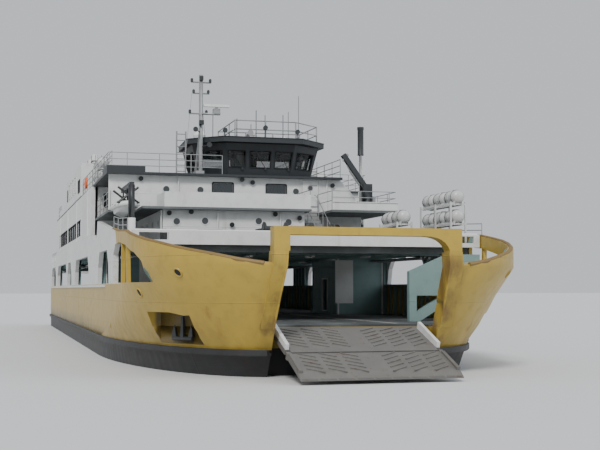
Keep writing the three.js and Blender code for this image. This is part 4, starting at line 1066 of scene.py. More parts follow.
# node, how far aft its face is, its starboard edge, 1 if it faces aft, True if it hangs on its port edge
HINGED_DOORS = [
    ("lounge_door_port", 60.0706, 3.2, 1, False), ("lounge_door_starboard", 60.0706, -4.1, 1, True),
    ("boat_deck_door", 17.5294, 2.2, -1, True), ("wheelhouse_door", 22.4706, -0.45, 1, False),
]
DOOR_DEPTH = 0.0706  # from the wall's face to the door's
DOOR_WIDTH = 0.9
DOOR_GAP = 0.03  # between a door and its frame


def build_doors():
    """Handles, hinge straps and a round light on each hinged door, and its frame on the wall."""
    frames = Stock()
    for node, aft, port, facing, on_port in HINGED_DOORS:
        low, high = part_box(node)
        bottom, top = low.z / SCALE, high.z / SCALE
        out = aft + facing * 0.02
        inward = -1 if on_port else 1
        hung = port + inward * 0.06 + (DOOR_WIDTH if on_port else 0)
        free = port - inward * 0.12 + (0 if on_port else DOOR_WIDTH)
        centre = port + DOOR_WIDTH / 2
        trim = Stock()
        for up in (bottom + 0.25, top - 0.25):
            trim.block((aft - facing * 0.004, out), (hung, hung + inward * 0.42), (up - 0.035, up + 0.035))
        trim.bar((out, free, bottom + 0.72), (out, free, bottom + 0.95), 0.018, 6)
        trim.turned((aft, free, bottom + 0.84), (-facing, 0, 0), [(-0.005, 0.04), (0.03, 0.04)], 10)
        trim.hoop((aft + facing * 0.005, centre, top - 0.4), AHEAD, 0.14, 0.02, 16, 6)
        trim.piece(f"{node}_handle", "steel", node)
        pane = [(-0.004, 0.13), (0.008, 0.13)]
        light = Stock().turned((aft, centre, top - 0.4), (-facing, 0, 0), pane, 16)
        light.piece(f"{node}_light", "glass", node)
        wall = aft - facing * DOOR_DEPTH
        span = (wall, wall + facing * 0.05)
        start, end = port - DOOR_GAP, port + DOOR_WIDTH + DOOR_GAP
        for edge in (start - 0.06, end):
            frames.block(span, (edge, edge + 0.06), (bottom - 0.06, top + 0.1))
        for rim in ((top + DOOR_GAP, top + 0.1), (bottom - 0.08, bottom - 0.02)):
            frames.block(span, (start, end), rim)
    frames.piece("door_frames", "fittings")


# Vehicle deck.

ARCADES = [  # openings along the vehicle deck, from and to, measured aft
    (14.7, 20.7), (26.2, 37.6), (41.0, 45.6), (46.4, 58.6), (61.0, 68.0),
]
PILLARS = [  # plated stretches between them
    (13.7, 14.6), (20.8, 26.1), (37.7, 40.9), (45.65, 46.35), (58.7, 60.9), (68.1, 69.2),
]
SIDE_FRAME_STEP = 0.8
BEAM_START = 10.2
BEAM_END = 68.4
SOCKET_LANES = (-7.2, -4.1, -1.3, 1.3, 4.1, 7.2)


def build_side_frames(side, word):
    """Frames of the ship's side, below the arcades and on the plated stretches, and the arcades' sills."""
    low = (14.3, side * 8.16, 2.9)
    row(f"side_frames_low_{word}", "inner", 69, low, (SIDE_FRAME_STEP, 0, 0), (0.035, 0.17, 1.72))
    shafts = Stock()
    for start, end in PILLARS:
        steps = max(1, round((end - start) / SIDE_FRAME_STEP))
        for i in range(steps + 1):
            aft = start + (end - start) * i / steps
            shafts.block((aft - 0.02, aft + 0.02), (side * 8.07, side * 8.25), (SILL, 5.2))
    for span in ARCADES:
        shafts.block(span, (side * 8.05, side * 8.25), (SILL - 0.04, SILL + 0.01))
    shafts.piece(f"side_frames_high_{word}", "inner")


def build_deckhead_gear(side, word):
    """Pipes and lamps under the passenger deck."""
    pipes = Stock()
    for port, up, radius in ((7.75, 5.1, 0.07), (7.5, 5.12, 0.045), (7.3, 5.1, 0.06)):
        pipes.bar((13, side * port, up), (68.8, side * port, up), radius)
    pipes.piece(f"deckhead_pipes_{word}", "steel")
    lamps = [(aft, side * port, 5.17) for aft in range(14, 68, 6) for port in (1.6, 4.6)]
    lamp = Stock().block((-0.6, 0.6), (-0.08, 0.08), (-0.06, 0.02))
    copies(f"deckhead_lamps_{word}", "lens", lamp, lamps)


def build_trunk_trim(side, word):
    """A panel, a door frame and corner posts on a stair trunk."""
    wall, reveal = side * 5.12, side * 5.2
    start, end, foot, head = 22.5, 23.6, 2.2, 4.1  # of the door's opening
    trunk = Stock().block((20.84, 20.9), (wall, side * 6.2), (2.67, 5.17))
    trunk.piece(f"trunk_panel_{word}", "fittings")
    edges = Stock()
    for up in (foot, head):
        edges.block((start, end), (wall, reveal), (up - 0.03, up + 0.05))
    for aft in (start, end - 0.08):
        edges.block((aft, aft + 0.08), (wall, reveal), (foot, head))
    for port in (5.3, 8.0):
        edges.block((20.85, 20.9), (side * (port - 0.04), side * (port + 0.04)), (CAR_DECK, 5.48))
    edges.piece(f"trunk_door_frame_{word}", "fittings")


def build_deck_side(side, word):
    build_side_frames(side, word)
    build_deckhead_gear(side, word)
    build_trunk_trim(side, word)


def build_vehicle_deck():
    step = bpy.context.scene.ferry_sizes.beam_step
    count = int((BEAM_END - BEAM_START) / step) + 1
    row("deck_beam_webs", "inner", count, (BEAM_START, 0, 5.36), (step, 0, 0), (0.03, 16.3, 0.27))
    row("deck_beam_flanges", "inner", count, (BEAM_START, 0, 5.215), (step, 0, 0), (0.16, 16.3, 0.025))
    row("deck_girders", "inner", 4, (39.3, -4.5, 5.34), (0, 3.0, 0), (58.2, 0.04, 0.3))
    both(build_deck_side)
    socket = Stock().turned((0, 0, 0), UPRIGHT, [(0.0, 0.13), (0.012, 0.13), (0.018, 0.09)], 10)
    places = [(aft, port, CAR_DECK) for aft in range(6, 69, 3) for port in SOCKET_LANES]
    clear = [p for p in places if abs(p[1]) < 5 or 12 < p[0] < 20 or p[0] > 26]  # of the bow and stair trunks
    copies("lashing_sockets", "ramp", socket, clear)


# Bow.


def build_wing_stays(side, word):
    stays = Stock()
    for aft in (1.5, 2.4, 3.3, 8.8, 9.8, 10.8, 11.8, 12.8):
        top = rim_up(aft) - 0.05
        low = PASSENGER_DECK if aft > 5 else max(2.6, top - 2.2)
        if top - low < 0.2:
            continue
        upper, lower = half_breadth(aft, top, 0.22), half_breadth(aft, low, 0.22)
        outline = [(upper, top), (upper - 0.14, top), (lower - 0.3, low), (lower, low)]
        stays.cross([(side * port, up) for port, up in outline], (aft - 0.02, aft + 0.02))
    stays.piece(f"bow_stays_{word}", "inner")


def build_bow_fairleads(side, word):
    lips, shade_discs = Stock(), Stock()
    for aft, up in ((2.6, 4.15), (6.3, 3.35)):
        axis = bow_normal(aft, side, up)
        centre = (aft, side * half_breadth(aft, up), up)
        lips.hoop(centre, axis, 0.19, 0.04, 18)
        # Dark discs that close the fairleads' holes: painted shade inside the openings.
        shade_discs.turned(centre, axis, [(-0.02, 0.18), (0.012, 0.18)], 18)
    lips.piece(f"bow_fairleads_{word}", "yellow")
    shade_discs.piece(f"bow_fairlead_mouths_{word}", "rubber")


def build_strake(side, word):
    """The rubbing strake from the stem round the bow's curve to the side."""
    rings = []
    for i in range(STRAKE_STEPS + 1):
        turn = STRAKE_START + (math.pi / 2 - STRAKE_START) * i / STRAKE_STEPS
        proud = 0.15 - 0.035 * i / STRAKE_STEPS
        section = [
            (-0.05, STRAKE_FOOT), (proud - 0.04, STRAKE_FOOT), (proud, STRAKE_FOOT + 0.04),
            (proud, STRAKE_TOP - 0.04), (proud - 0.04, STRAKE_TOP), (-0.05, STRAKE_TOP),
        ]
        ring = []
        for out, up in section:
            aft = STRAKE_CENTRE - (STRAKE_REACH + out) * math.cos(turn)
            port = STEM_HALF + (SHELL - STEM_HALF + out) * math.sin(turn)
            ring.append(at(aft, side * port, up))
        rings.append(ring)
    Stock().rings(rings).piece(f"rubbing_strake_{word}", "bottom")


def build_wing(side, word):
    """The rim, stays, fairleads, rubbing strake, stem edge and posts of one side."""
    afts = (0.2, 0.6, 1.2, 2.1, 2.8, 3.4, 4.5, 5.6, 6.8, 8, 9.5, 11, 12.3, 13.6)
    cap = Stock().pipe([rim_point(aft, side) for aft in afts], 0.09)
    cap.piece(f"bow_rim_{word}", "rim")
    build_wing_stays(side, word)
    build_bow_fairleads(side, word)
    build_strake(side, word)

    edge = []
    for up, stem in ((BOW_GAP_FOOT, 1.45), (3.2, 0.75), (4.4, 0.0), (STEM_HEAD, 0.0)):
        near = BOW_GAP_HALF - POST_LEAN * (up - BOW_GAP_FOOT) / (STEM_HEAD - BOW_GAP_FOOT)
        edge.append((stem + 0.03, side * (near + 0.03), up))
    Stock().pipe(edge, 0.045).piece(f"stem_edges_{word}", "yellow")

    posts = Stock()
    for aft, low, high in ((7.75, 3.76, 5.42), (9.4, 3.76, 5.58)):
        corners = ((low, 0.02), (high, 0.02), (high, 0.2), (low, 0.2))
        outline = [(side * (half_breadth(aft, up) - inset), up) for up, inset in corners]
        posts.cross(outline, (aft - 0.09, aft + 0.09))
    posts.piece(f"wing_posts_{word}", "bow")


def build_bow():
    both(build_wing)
    fronts = Stock()
    for port in (-6.2, -4.4, -2.6, -0.8, 1.0, 2.8, 4.6, 6.2):
        fronts.side([(8.02, 5.64), (8.3, 5.64), (8.02, 6.0)], (port - 0.015, port + 0.015))
    fronts.bar((7.93, -8.1, 6.08), (7.93, 8.1, 6.08), 0.045)
    fronts.piece("front_bulwark_stays", "fittings")

    coaming = Stock()
    foot, top = BOAT_DECK + 0.01, BOAT_DECK + 0.4
    coaming.block((14.5, 14.56), (2.98, 6.6), (foot, top))
    coaming.block((14.56, 21.0), (6.54, 6.6), (foot, top))
    coaming.block((14.46, 14.6), (2.98, 6.64), (top, top + 0.04))
    coaming.piece("boat_deck_coaming", "white")

    bitts = ((9.4, -6.6), (9.4, 6.0), (13.0, -4.0), (66.8, 6.6), (66.8, -6.6), (63.4, 7.2), (63.4, -7.2))
    twin = Stock().block((-0.5, 0.5), (-0.2, 0.2), (0, 0.05))
    for shift in (-0.3, 0.3):
        post = [(0, 0.12), (0.42, 0.12), (0.43, 0.15), (0.5, 0.15), (0.53, 0.1)]
        twin.turned((shift, 0, 0.05), UPRIGHT, post, 14)
    copies("mooring_bitts", "dark", twin, [(aft, port, PASSENGER_DECK) for aft, port in bitts])


# Anchors.

SHANK_BACK = 0.449  # from the middle of the anchor to the pocket's mouth
FLUKE = [(0.36, -0.52), (0.6, -0.5), (0.65, -0.32), (0.61, -0.08), (0.53, 0.11), (0.46, -0.06), (0.4, -0.3)]


def pocket_point(side, out, across, up):
    """A place given along the pocket's own axes, from the back of the anchor."""
    ahead = (out - SHANK_BACK) * math.cos(POCKET_TURN) - across * math.sin(POCKET_TURN)
    aside = (out - SHANK_BACK) * math.sin(POCKET_TURN) + across * math.cos(POCKET_TURN)
    return POCKET[0] - ahead, side * (POCKET[1] + aside), POCKET[2] + up


def build_anchor(side, word):
    """A stockless anchor in its pocket: shank, crown, two pointed flukes and a ring."""
    def spot(out, across, up):
        return at(*pocket_point(side, out, across, up))

    square = ((-1, -1), (1, -1), (1, 1), (-1, 1))
    shank = ((0.08, 0.1, -0.4), (0.05, 0.06, 0.52))
    shape = Stock().rings([[spot(o * deep, a * wide, up) for o, a in square] for deep, wide, up in shank])
    shape.bar(pocket_point(side, 0, -0.62, -0.45), pocket_point(side, 0, 0.62, -0.45), 0.095, 12)
    for hand in (-1, 1):
        shape.rings([
            [spot(face * (0.07 - 0.05 * (up + 0.52) / 0.63), hand * across, up) for across, up in FLUKE]
            for face in (-1, 1)
        ])
    axis = (-math.sin(POCKET_TURN), side * math.cos(POCKET_TURN), 0)
    shape.hoop(pocket_point(side, 0, 0, 0.52), axis, 0.06, 0.02, 18, 6)
    shown = shape.piece(f"anchor_shape_{word}", "dark", bevel=0.012)
    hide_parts(f"anchor_{word}")


def build_anchors():
    both(build_anchor)


# Ramps.

RAMP_HINGE = (3.2, 1.82)  # aft and up
RAMP_SLOPE = math.radians(20)
RAMP_HALF = 3.2
BAR_LANES = (-2.5, -1.65, -0.8, 0.8, 1.65, 2.5)
BAR_YAW = 28  # degrees that the grip bars are swung, each way
RIB_LANES = (-2.7, -1.6, -0.55, 0.55, 1.6, 2.7)
# body, first and last bar ahead of the hinge, height of the plate there, ribs, height and finish of the curbs
BOW_LEAVES = [
    ("bow_ramp_inner", 0.3, 2.3, (0.13, 0.195), (0.45, 1.85), 0.22, "fittings"),
    ("bow_ramp_outer", 3.0, 4.4, (0.2, 0.185), (3.55, 4.35), 0.08, "ramp"),
]


def ramp_point(ahead, port, above):
    """A place given along the lowered bow ramp from its hinge, across it and above it."""
    aft = RAMP_HINGE[0] - ahead * math.cos(RAMP_SLOPE) - above * math.sin(RAMP_SLOPE)
    return aft, port, RAMP_HINGE[1] - ahead * math.sin(RAMP_SLOPE) + above * math.cos(RAMP_SLOPE)


def ramp_block(stock, ahead, port, above):
    corners = [(port[0], above[0]), (port[1], above[0]), (port[1], above[1]), (port[0], above[1])]
    stock.rings([[at(*ramp_point(end, p, u)) for p, u in corners] for end in ahead])


def ramp_turn(yaw):
    """Turn in degrees of a piece that lies on the ramp, swung by yaw in the ramp's plane."""
    slope = Matrix.Rotation(RAMP_SLOPE, 3, "Y")
    swing = Matrix.Rotation(math.radians(yaw), 3, "Z")
    return [math.degrees(angle) for angle in (slope @ swing).to_euler()]


def build_bow_leaf(body, start, end, plate, ribs, curb, finish):
    """Grip bars, curbs and ribs of one leaf, given as a line of BOW_LEAVES."""
    step = bpy.context.scene.ferry_sizes.bar_step
    bar = Stock().block((-0.025, 0.025), (-0.36, 0.36), (-0.02, 0.03))
    places = []
    count = int((end - start) / step) + 1
    for i in range(count):
        above = plate[0] + (plate[1] - plate[0]) * i / count
        for lane in BAR_LANES:
            turn = ramp_turn(math.copysign(BAR_YAW, lane))
            places.append((*ramp_point(start + i * step, lane, above), turn))
    copies(f"{body}_grip_bars", "ramp", bar, places, body)
    curbs, under = Stock(), Stock()
    for side in (-1, 1):
        edge = sorted((side * (RAMP_HALF - 0.16), side * (RAMP_HALF - 0.02)))
        ramp_block(curbs, (start - 0.1, end + 0.1), edge, (plate[0] - 0.06, plate[1] + curb))
    curbs.piece(f"{body}_curbs", finish, body)
    for port in RIB_LANES:
        ramp_block(under, ribs, (port - 0.05, port + 0.05), (-0.14, 0.02))
    under.piece(f"{body}_ribs", "ramp", body)


def build_stern_ramp():
    """Ribs outside and grip bars inside, with the ramp stowed upright."""
    outer, inner = 69.87, 69.64
    for name, count, start, move, size in (
        ("ribs_upright", 9, (outer, -3.2, 3.87), (0, 0.8, 0), (0.06, 0.07, 2.5)),
        ("ribs_across", 4, (outer, 0, 2.75), (0, 0, 0.75), (0.05, 6.9, 0.06)),
        ("grip_bars", 14, (inner, 0, 2.5), (0, 0, 0.2), (0.03, 6.2, 0.035)),
    ):
        row(f"stern_ramp_{name}", "ramp", count, start, move, size, "stern_ramp")


def build_ramps():
    for leaf in BOW_LEAVES:
        build_bow_leaf(*leaf)
    toe = Stock()
    pitch = 0.71
    for i in range(9):
        port = (i - 4) * pitch
        ramp_block(toe, (4.45, 4.88), (port - 0.3, port + 0.3), (0.04, 0.075))
    toe.piece("ramp_toe_fingers", "ramp", "bow_ramp_outer")
    build_stern_ramp()


# Casings.

LOUVRES = (38.0, 40.0, 42.0, 44.0)


def build_louvres(side, word):
    slats = bpy.context.scene.ferry_sizes.louvre_count
    frames, shade_backs = Stock(), Stock()
    half, rim = 0.66, 0.06  # half a louvre's length, and how wide its frame's bars are
    face = (side * (SHELL - 0.01), side * (SHELL + 0.05))
    back = (face[0], side * (SHELL + 0.005))
    for n, aft in enumerate(LOUVRES):
        first = (aft, side * (SHELL + 0.01), 10.35)
        row(f"louvre_{word}_{n}", "fittings", slats, first, (0, 0, 0.9 / slats), (1.2, 0.05, 0.035))
        for edge in (aft - half, aft + half - rim):
            frames.block((edge, edge + rim), face, (10.25, 11.3))
        for edge in (11.28, 10.2):
            frames.block((aft - half, aft + half), face, (edge, edge + rim))
        # A dark plate behind the slats: painted shade where the louvre would open into the casing.
        shade_backs.block((aft - half + rim, aft + half - rim), back, (10.26, 11.28))
    frames.piece(f"louvre_frames_{word}", "fittings")
    shade_backs.piece(f"louvre_backs_{word}", "rubber")


def build_exhaust_collars(side, word):
    pipes = Stock()
    lip = [(-0.5, 0.25), (-0.4, 0.25), (-0.4, 0.225), (0.02, 0.225)]
    collar = [(0, 0.36), (0.08, 0.36), (0.12, 0.26), (0.3, 0.25)]
    for aft in (35.9, 38.9, 41.9):
        pipes.turned((aft, side * 7.4, 12.55), (-0.34, 0, 0.94), lip, 14)
        pipes.turned((aft - 0.32, side * 7.4, 11.76), UPRIGHT, collar, 14)
    pipes.piece(f"exhaust_collars_{word}", "dark")


def build_casing(side, word):
    """Louvres, exhaust collars, doors and the ladder of one casing."""
    build_louvres(side, word)
    build_exhaust_collars(side, word)
    doors = Stock()
    wall, grip, deck = side * 6.39, side * 6.31, BRIDGE_DECK
    for aft in (36.0, 45.0):
        doors.block((aft - 0.4, aft + 0.4), (wall, wall - side * 0.05), (deck + 0.15, deck + 1.9))
        doors.bar((aft + 0.3, grip, deck + 0.9), (aft + 0.3, grip, deck + 1.15), 0.02, 6)
    doors.piece(f"casing_doors_{word}", "fittings")

    ladder = Stock()
    front, inner, outer = 32.95, side * 7.2, side * 7.6
    for i in range(7):
        up = 9.85 + i * 0.3
        ladder.bar((front, inner, up), (front, outer, up), 0.02, 6)
    for port in (inner, outer):
        ladder.bar((front, port, deck), (front, port, 12.3), 0.025, 6)
    ladder.piece(f"casing_ladder_{word}", "steel")


def build_casings():
    both(build_casing)


# Crane, rafts and rescue boat.

CRANE = (16.2, 5.4)  # aft and port of its column
BOOM_PIVOT = 8.95
BOOM_LEAN = math.radians(54)  # above level


def boom_point(reach, drop, shift=0.0):
    """A place reach along the boom from its pivot, drop below it and shift aft of it."""
    port = CRANE[1] - reach * math.cos(BOOM_LEAN) - drop * math.sin(BOOM_LEAN)
    return CRANE[0] + shift, port, BOOM_PIVOT + reach * math.sin(BOOM_LEAN) - drop * math.cos(BOOM_LEAN)


def build_crane():
    boom = Stock()
    for start, end, radius, sides in (  # the cylinder and its rod, the sheave, its bracket and the hose
        ((0.35, 0.2), (1.3, 0.2), 0.06, 10),
        ((1.2, 0.2), (1.6, 0.16), 0.035, 8),
        ((2.05, -0.14, -0.08), (2.05, -0.14, 0.08), 0.1, 12),
        ((1.9, 0.2), (2.1, 0.02), 0.05, 8),
        ((0.5, -0.17, 0.05), (2.0, -0.17, 0.05), 0.018, 6),
    ):
        boom.bar(boom_point(*start), boom_point(*end), radius, sides)
    boom.piece("crane_boom_fittings", "steel", "crane_boom")
    column = Stock().turned((*CRANE, 8.0), UPRIGHT, [(0.01, 0.4), (0.06, 0.4)], 16)
    column.block((16.05, 16.35), (5.65, 5.9), (8.15, 8.5))
    column.piece("crane_column_fittings", "steel", "crane_column")
    foot = Stock()
    for i in range(10):
        angle = math.radians(36 * i)
        bolt = (CRANE[0] + 0.33 * math.cos(angle), CRANE[1] + 0.33 * math.sin(angle), BOAT_DECK + 0.08)
        foot.turned(bolt, UPRIGHT, [(0, 0.03), (0.04, 0.03)], 6)
    foot.piece("crane_foot_bolts", "steel")
    sleeve = [(0, 0.18), (0.05, 0.18), (0.08, 0.17), (1.42, 0.17), (1.46, 0.19), (1.6, 0.19)]
    Stock().turned((18.4, 5.85, 11.0), UPRIGHT, sleeve, 14).piece("derrick_post_sleeve", "dark")


def build_rafts():
    rafts = []
    for afts, port, tiers in (
        ((8.9, 10.3, 11.7), 7.35, (6.96, 7.9)),
        ((9.9, 11.3), 5.0, (6.96,)),
        ((25.0, 26.4), -7.9, (10.12, 10.87)),
    ):
        rafts += [(aft, port, up) for aft in afts for up in tiers]
    straps = [(aft + shift, port, up) for aft, port, up in rafts for shift in (-0.36, 0.36)]
    band = Stock().hoop((0, 0, 0), AHEAD, 0.335, 0.012, 20, 5)
    copies("raft_straps", "rubber", band, straps)
    rafts.sort()
    lid = Stock().hoop((0, 0, 0), AHEAD, 0.325, 0.022, 20, 6)
    copies("raft_lid_seams", "canister", lid, rafts)
    lock = Stock().block((-0.06, 0.06), (-0.05, 0.05), (0.28, 0.36))
    copies("raft_release_units", "steel", lock, rafts)


BOAT = (15.3, -7.65)  # aft and port of its middle
BOAT_LENGTH = 3.36
BOAT_BODY = "rescue_davit"
BOAT_RIM = 7.62
BOAT_FLOOR = 7.5
BOAT_SECTIONS = [  # share of its length from the bow, half width, keel's height
    (0.0, 0.1, 7.42), (0.12, 0.34, 7.24), (0.35, 0.5, 7.13), (0.7, 0.5, 7.11), (0.95, 0.47, 7.13),
]
TUBE_LINE = [  # aft of the boat's middle, out from it, up
    (-1.66, 0, 7.68), (-1.5, 0.2, 7.67), (-1.1, 0.4, 7.65),
    (-0.4, 0.49, 7.64), (1.3, 0.48, 7.64), (1.66, 0.46, 7.64),
]


def build_boat_hull():
    mid, port = BOAT
    rings = []
    for share, wide, keel in BOAT_SECTIONS:
        aft = mid + BOAT_LENGTH * (share - 0.5)
        chine = keel + 0.2
        section = [
            (-1, BOAT_RIM), (-0.86, chine), (0, keel), (0.86, chine), (1, BOAT_RIM),
            (0.6, BOAT_FLOOR), (-0.6, BOAT_FLOOR),
        ]
        rings.append([at(aft, port + across * wide, up) for across, up in section])
    shell = Stock().rings(rings).piece("rescue_boat_hull", "canister", BOAT_BODY)
    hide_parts("rescue_boat")
    tube = Stock()
    for side in (-1, 1):
        tube.pipe([(mid + along, port + side * out, up) for along, out, up in TUBE_LINE], 0.13, 12)
    tube.piece("rescue_boat_tubes", "fittings", BOAT_BODY)


def build_boat_fittings():
    """The console, seat, outboard engine and grab lines."""
    mid, port = BOAT
    inside = Stock()
    for start, end, half, low, high in (
        (-0.35, 0.15, 0.16, BOAT_FLOOR, 7.79), (0.3, 0.7, 0.28, BOAT_FLOOR, 7.66),
        (1.42, 1.66, 0.13, 7.35, 7.78),
    ):
        inside.block((mid + start, mid + end), (port - half, port + half), (low, high))
    inside.piece("rescue_boat_fittings", "dark", BOAT_BODY, bevel=0.03)
    ropes = Stock()
    for side in (-1, 1):
        line = port + side * 0.6
        for i in range(6):
            aft = mid - 1.0 + i * 0.45
            ropes.pipe([(aft, line, 7.66), (aft + 0.22, line, 7.6), (aft + 0.45, line, 7.66)], 0.012, 5)
    ropes.piece("rescue_boat_grab_lines", "rope", BOAT_BODY)


def build_boat_cradle():
    port = BOAT[1]
    arms = Stock()
    for aft in (14.0, 16.2):
        for lean in (-1, 1):
            arms.bar((aft, port - lean * 0.5, 7.72), (aft + 0.1, port + lean * 0.5, 8.5), 0.055)
        arms.bar((aft, port - 0.55, 7.74), (aft, port + 0.55, 7.74), 0.05)
    arms.bar((14.05, port, 8.1), (16.25, port, 8.1), 0.045)
    arms.piece("rescue_boat_cradle", "dark", BOAT_BODY)


def build_rescue_boat():
    """An open boat with round side tubes, in the cradle of its davit."""
    build_boat_hull()
    build_boat_fittings()
    build_boat_cradle()


# Deck gear.

LIFEBUOYS = [  # aft, port, up, and the turn where there is one
    (25.2, -6.9, 7.0), (59.9, 7.6, 10.3, AFT), (59.9, -7.6, 10.3, AFT),
    (68.45, 2.0, 6.2, AFT), (68.45, -2.0, 6.2, AFT),
    (30.0, 8.42, 10.15, PORT), (30.0, -8.42, 10.15, STARBOARD), (20.5, 6.55, 8.2, PORT),
]
VENTS = [  # aft, port, deck
    (27, 3, BRIDGE_DECK), (29, -2.5, BRIDGE_DECK), (58, 3.5, BRIDGE_DECK), (58, -3.5, BRIDGE_DECK),
    (64.5, 0, PASSENGER_DECK), (12.2, 1.6, PASSENGER_DECK), (12.2, -2.6, PASSENGER_DECK),
    (50, 4.5, BRIDGE_DECK), (50, -4.5, BRIDGE_DECK), (16.0, -3.4, BOAT_DECK), (54, 0, BRIDGE_DECK),
]
LOCKERS = [  # aft, port, deck, size along, across and up
    (28, -6.4, BRIDGE_DECK, (1.2, 0.7, 0.7)), (28, 6.4, BRIDGE_DECK, (1.2, 0.7, 0.7)),
    (16.1, -4.7, BOAT_DECK, (0.8, 1.2, 0.6)), (9.0, 3.4, PASSENGER_DECK, (0.6, 0.9, 0.55)),
    (9.0, -4.6, PASSENGER_DECK, (0.6, 1.1, 0.5)), (62, 3.6, PASSENGER_DECK, (0.8, 1.4, 0.8)),
    (62, -3.6, PASSENGER_DECK, (0.8, 1.4, 0.8)), (19.5, 5.5, BOAT_DECK, (0.7, 0.9, 0.6)),
]
FLOODLIGHTS = [  # aft, port, up
    (15, -5.5, 7.35), (15, 0.0, 7.38), (15, 1.3, 7.2), (17.6, -6.6, 9.3), (17.6, -0.6, 9.25),
    (17.6, 3.9, 9.2), (15, -2.28, 6.8), (14.9, -4.4, 7.42), (17.5, -1.2, 9.38),
]


def build_benches():
    seats, legs = Stock(), Stock()
    deck = BRIDGE_DECK
    for aft in (31, 43, 46, 49, 52):
        for port in (-3.6, -1.2, 1.2, 3.6):
            wide = (port - 0.9, port + 0.9)
            seats.block((aft - 0.25, aft + 0.2), wide, (deck + 0.42, deck + 0.46))
            seats.block((aft + 0.2, aft + 0.24), wide, (deck + 0.5, deck + 0.85))
            for end in (-0.75, 0.75):
                leg = (port + end - 0.03, port + end + 0.03)
                legs.block((aft - 0.22, aft + 0.24), leg, (deck, deck + 0.42))
                legs.block((aft + 0.18, aft + 0.22), leg, (deck + 0.4, deck + 0.86))
    seats.piece("bench_seats", "wood")
    legs.piece("bench_legs", "steel")


def build_wall_gear():
    """Floodlights, pipes and fire boxes on the houses' walls."""
    lights = Stock()
    lamp = [(-0.1, 0.05), (0.0, 0.1), (0.09, 0.13), (0.11, 0.13)]
    for aft, port, up in FLOODLIGHTS:
        lights.turned((aft - 0.06, port, up), (1, 0, -0.3), lamp, 10)
    lights.piece("wall_floodlights", "dark")
    piping = Stock()
    for aft, port, low, high, radius in (
        *[(14.93, port, 5.7, 7.45, 0.035) for port in (-5.9, -3.0, 0.3)],
        *[(17.53, port, 7.7, 9.4, 0.04) for port in (-4.6, 3.6)],
        *[(aft, port, 6.7, 9.45, 0.035) for port in (-8.53, 8.53) for aft in (27, 36, 45, 54)],
    ):
        piping.bar((aft, port, low), (aft, port, high), radius, 6)
    piping.piece("wall_pipes", "fittings")
    boxes = Stock()
    for aft, port, up, face in (
        (LOWER_FRONT, 1.0, 6.1, -1), (UPPER_FRONT, -4.0, 8.0, -1),
        (HOUSE_BACK, 2.6, 6.4, 1), (HOUSE_BACK, -2.6, 6.4, 1),
    ):
        boxes.block((aft, aft + face * 0.22), (port - 0.25, port + 0.25), (up, up + 0.6))
    boxes.piece("fire_boxes", "red", bevel=0.02)


def build_stair():
    foot, steps, pitch = 14.3, 9, 0.322
    rise = (BOAT_DECK - PASSENGER_DECK) / steps
    treads = Stock()
    for i in range(steps):
        aft, up = foot + i * pitch, PASSENGER_DECK + rise * (i + 1)
        treads.block((aft, aft + 0.32), (1.93, 2.87), (up - 0.01, up + 0.015))
    treads.piece("stair_treads", "ramp")
    handrails = Stock()
    for port in (1.98, 2.82):
        path = [(foot, port, 5.8), (foot, port, 6.75), (16.9, port, 8.5), (17.3, port, 8.6)]
        handrails.pipe(path, 0.022, 6)
        for i in range(3):
            aft = 14.9 + i * 0.8
            handrails.bar((aft, port, 6.05 + i * 0.55), (aft, port, 7.15 + i * 0.54), 0.02, 6)
    handrails.piece("stair_handrails", "steel")


def build_deck_gear():
    lifebuoy = Stock().hoop((0, 0, 0), AHEAD, 0.3, 0.075)
    copies("lifebuoys", "orange", lifebuoy, LIFEBUOYS)
    stem = [(0, 0.16), (0.04, 0.16), (0.06, 0.1), (0.5, 0.1)]
    cap = [(0.5, 0.24), (0.62, 0.24), (0.72, 0.15), (0.75, 0.04)]
    copies("mushroom_vents", "fittings", Stock().turned((0, 0, 0), UPRIGHT, stem + cap, 14), VENTS)
    boxes = Stock()
    for aft, port, deck, (along, across, tall) in LOCKERS:
        for lip, low, high in ((0, deck, deck + tall), (0.03, deck + tall, deck + tall + 0.06)):
            ends = (aft - along / 2 - lip, aft + along / 2 + lip)
            boxes.block(ends, (port - across / 2 - lip, port + across / 2 + lip), (low, high))
    boxes.piece("deck_lockers", "green", bevel=0.02)
    build_benches()
    build_wall_gear()
    build_stair()
    coils = Stock()
    for aft, port in ((10.4, -3.6), (10.6, 3.6), (65.5, 3.0), (65.5, -3.0)):
        for i in range(4):
            place = (aft, port, PASSENGER_DECK + 0.04 + i * 0.07)
            coils.hoop(place, UPRIGHT, 0.34 - 0.03 * (i % 2), 0.04, 22, 6)
    coils.piece("rope_coils", "rope")


# Stern.


def build_stern():
    frames = Stock()
    inner, outer = 69.5, 69.58
    for port in (-8.0, -4.2, 4.2, 8.0):
        frames.block((inner, outer), (port - 0.08, port + 0.08), (2.0, 5.4))
    frames.block((inner, outer), (-8.1, 8.1), (5.25, 5.42))
    for port in (-3.85, 3.85):
        frames.bar((inner, port, 5.2), (69.82, port, 5.2), 0.07)
    frames.piece("stern_frame_ribs", "fittings")

    def sides(side, word):
        lips = Stock()
        for aft in (62.0, 66.0):
            lips.hoop((aft, side * SHELL, 6.1), (0, 1, 0), 0.17, 0.04, 18)
        lips.piece(f"stern_fairleads_{word}", "fittings")
        out = (side * (SHELL - 0.01), side * (SHELL + 0.06))
        moulding = Stock().block((16.5, 68.5), out, (3.6, 3.72))
        moulding.piece(f"sill_moulding_{word}", "white")

    both(sides)


# Stage.

FLOOR_REACH = 400.0  # half the floor's width, in the model's metres
EYE = (-40, -14.03, 3.5)
TARGET = (8, -0.6, 6.4)


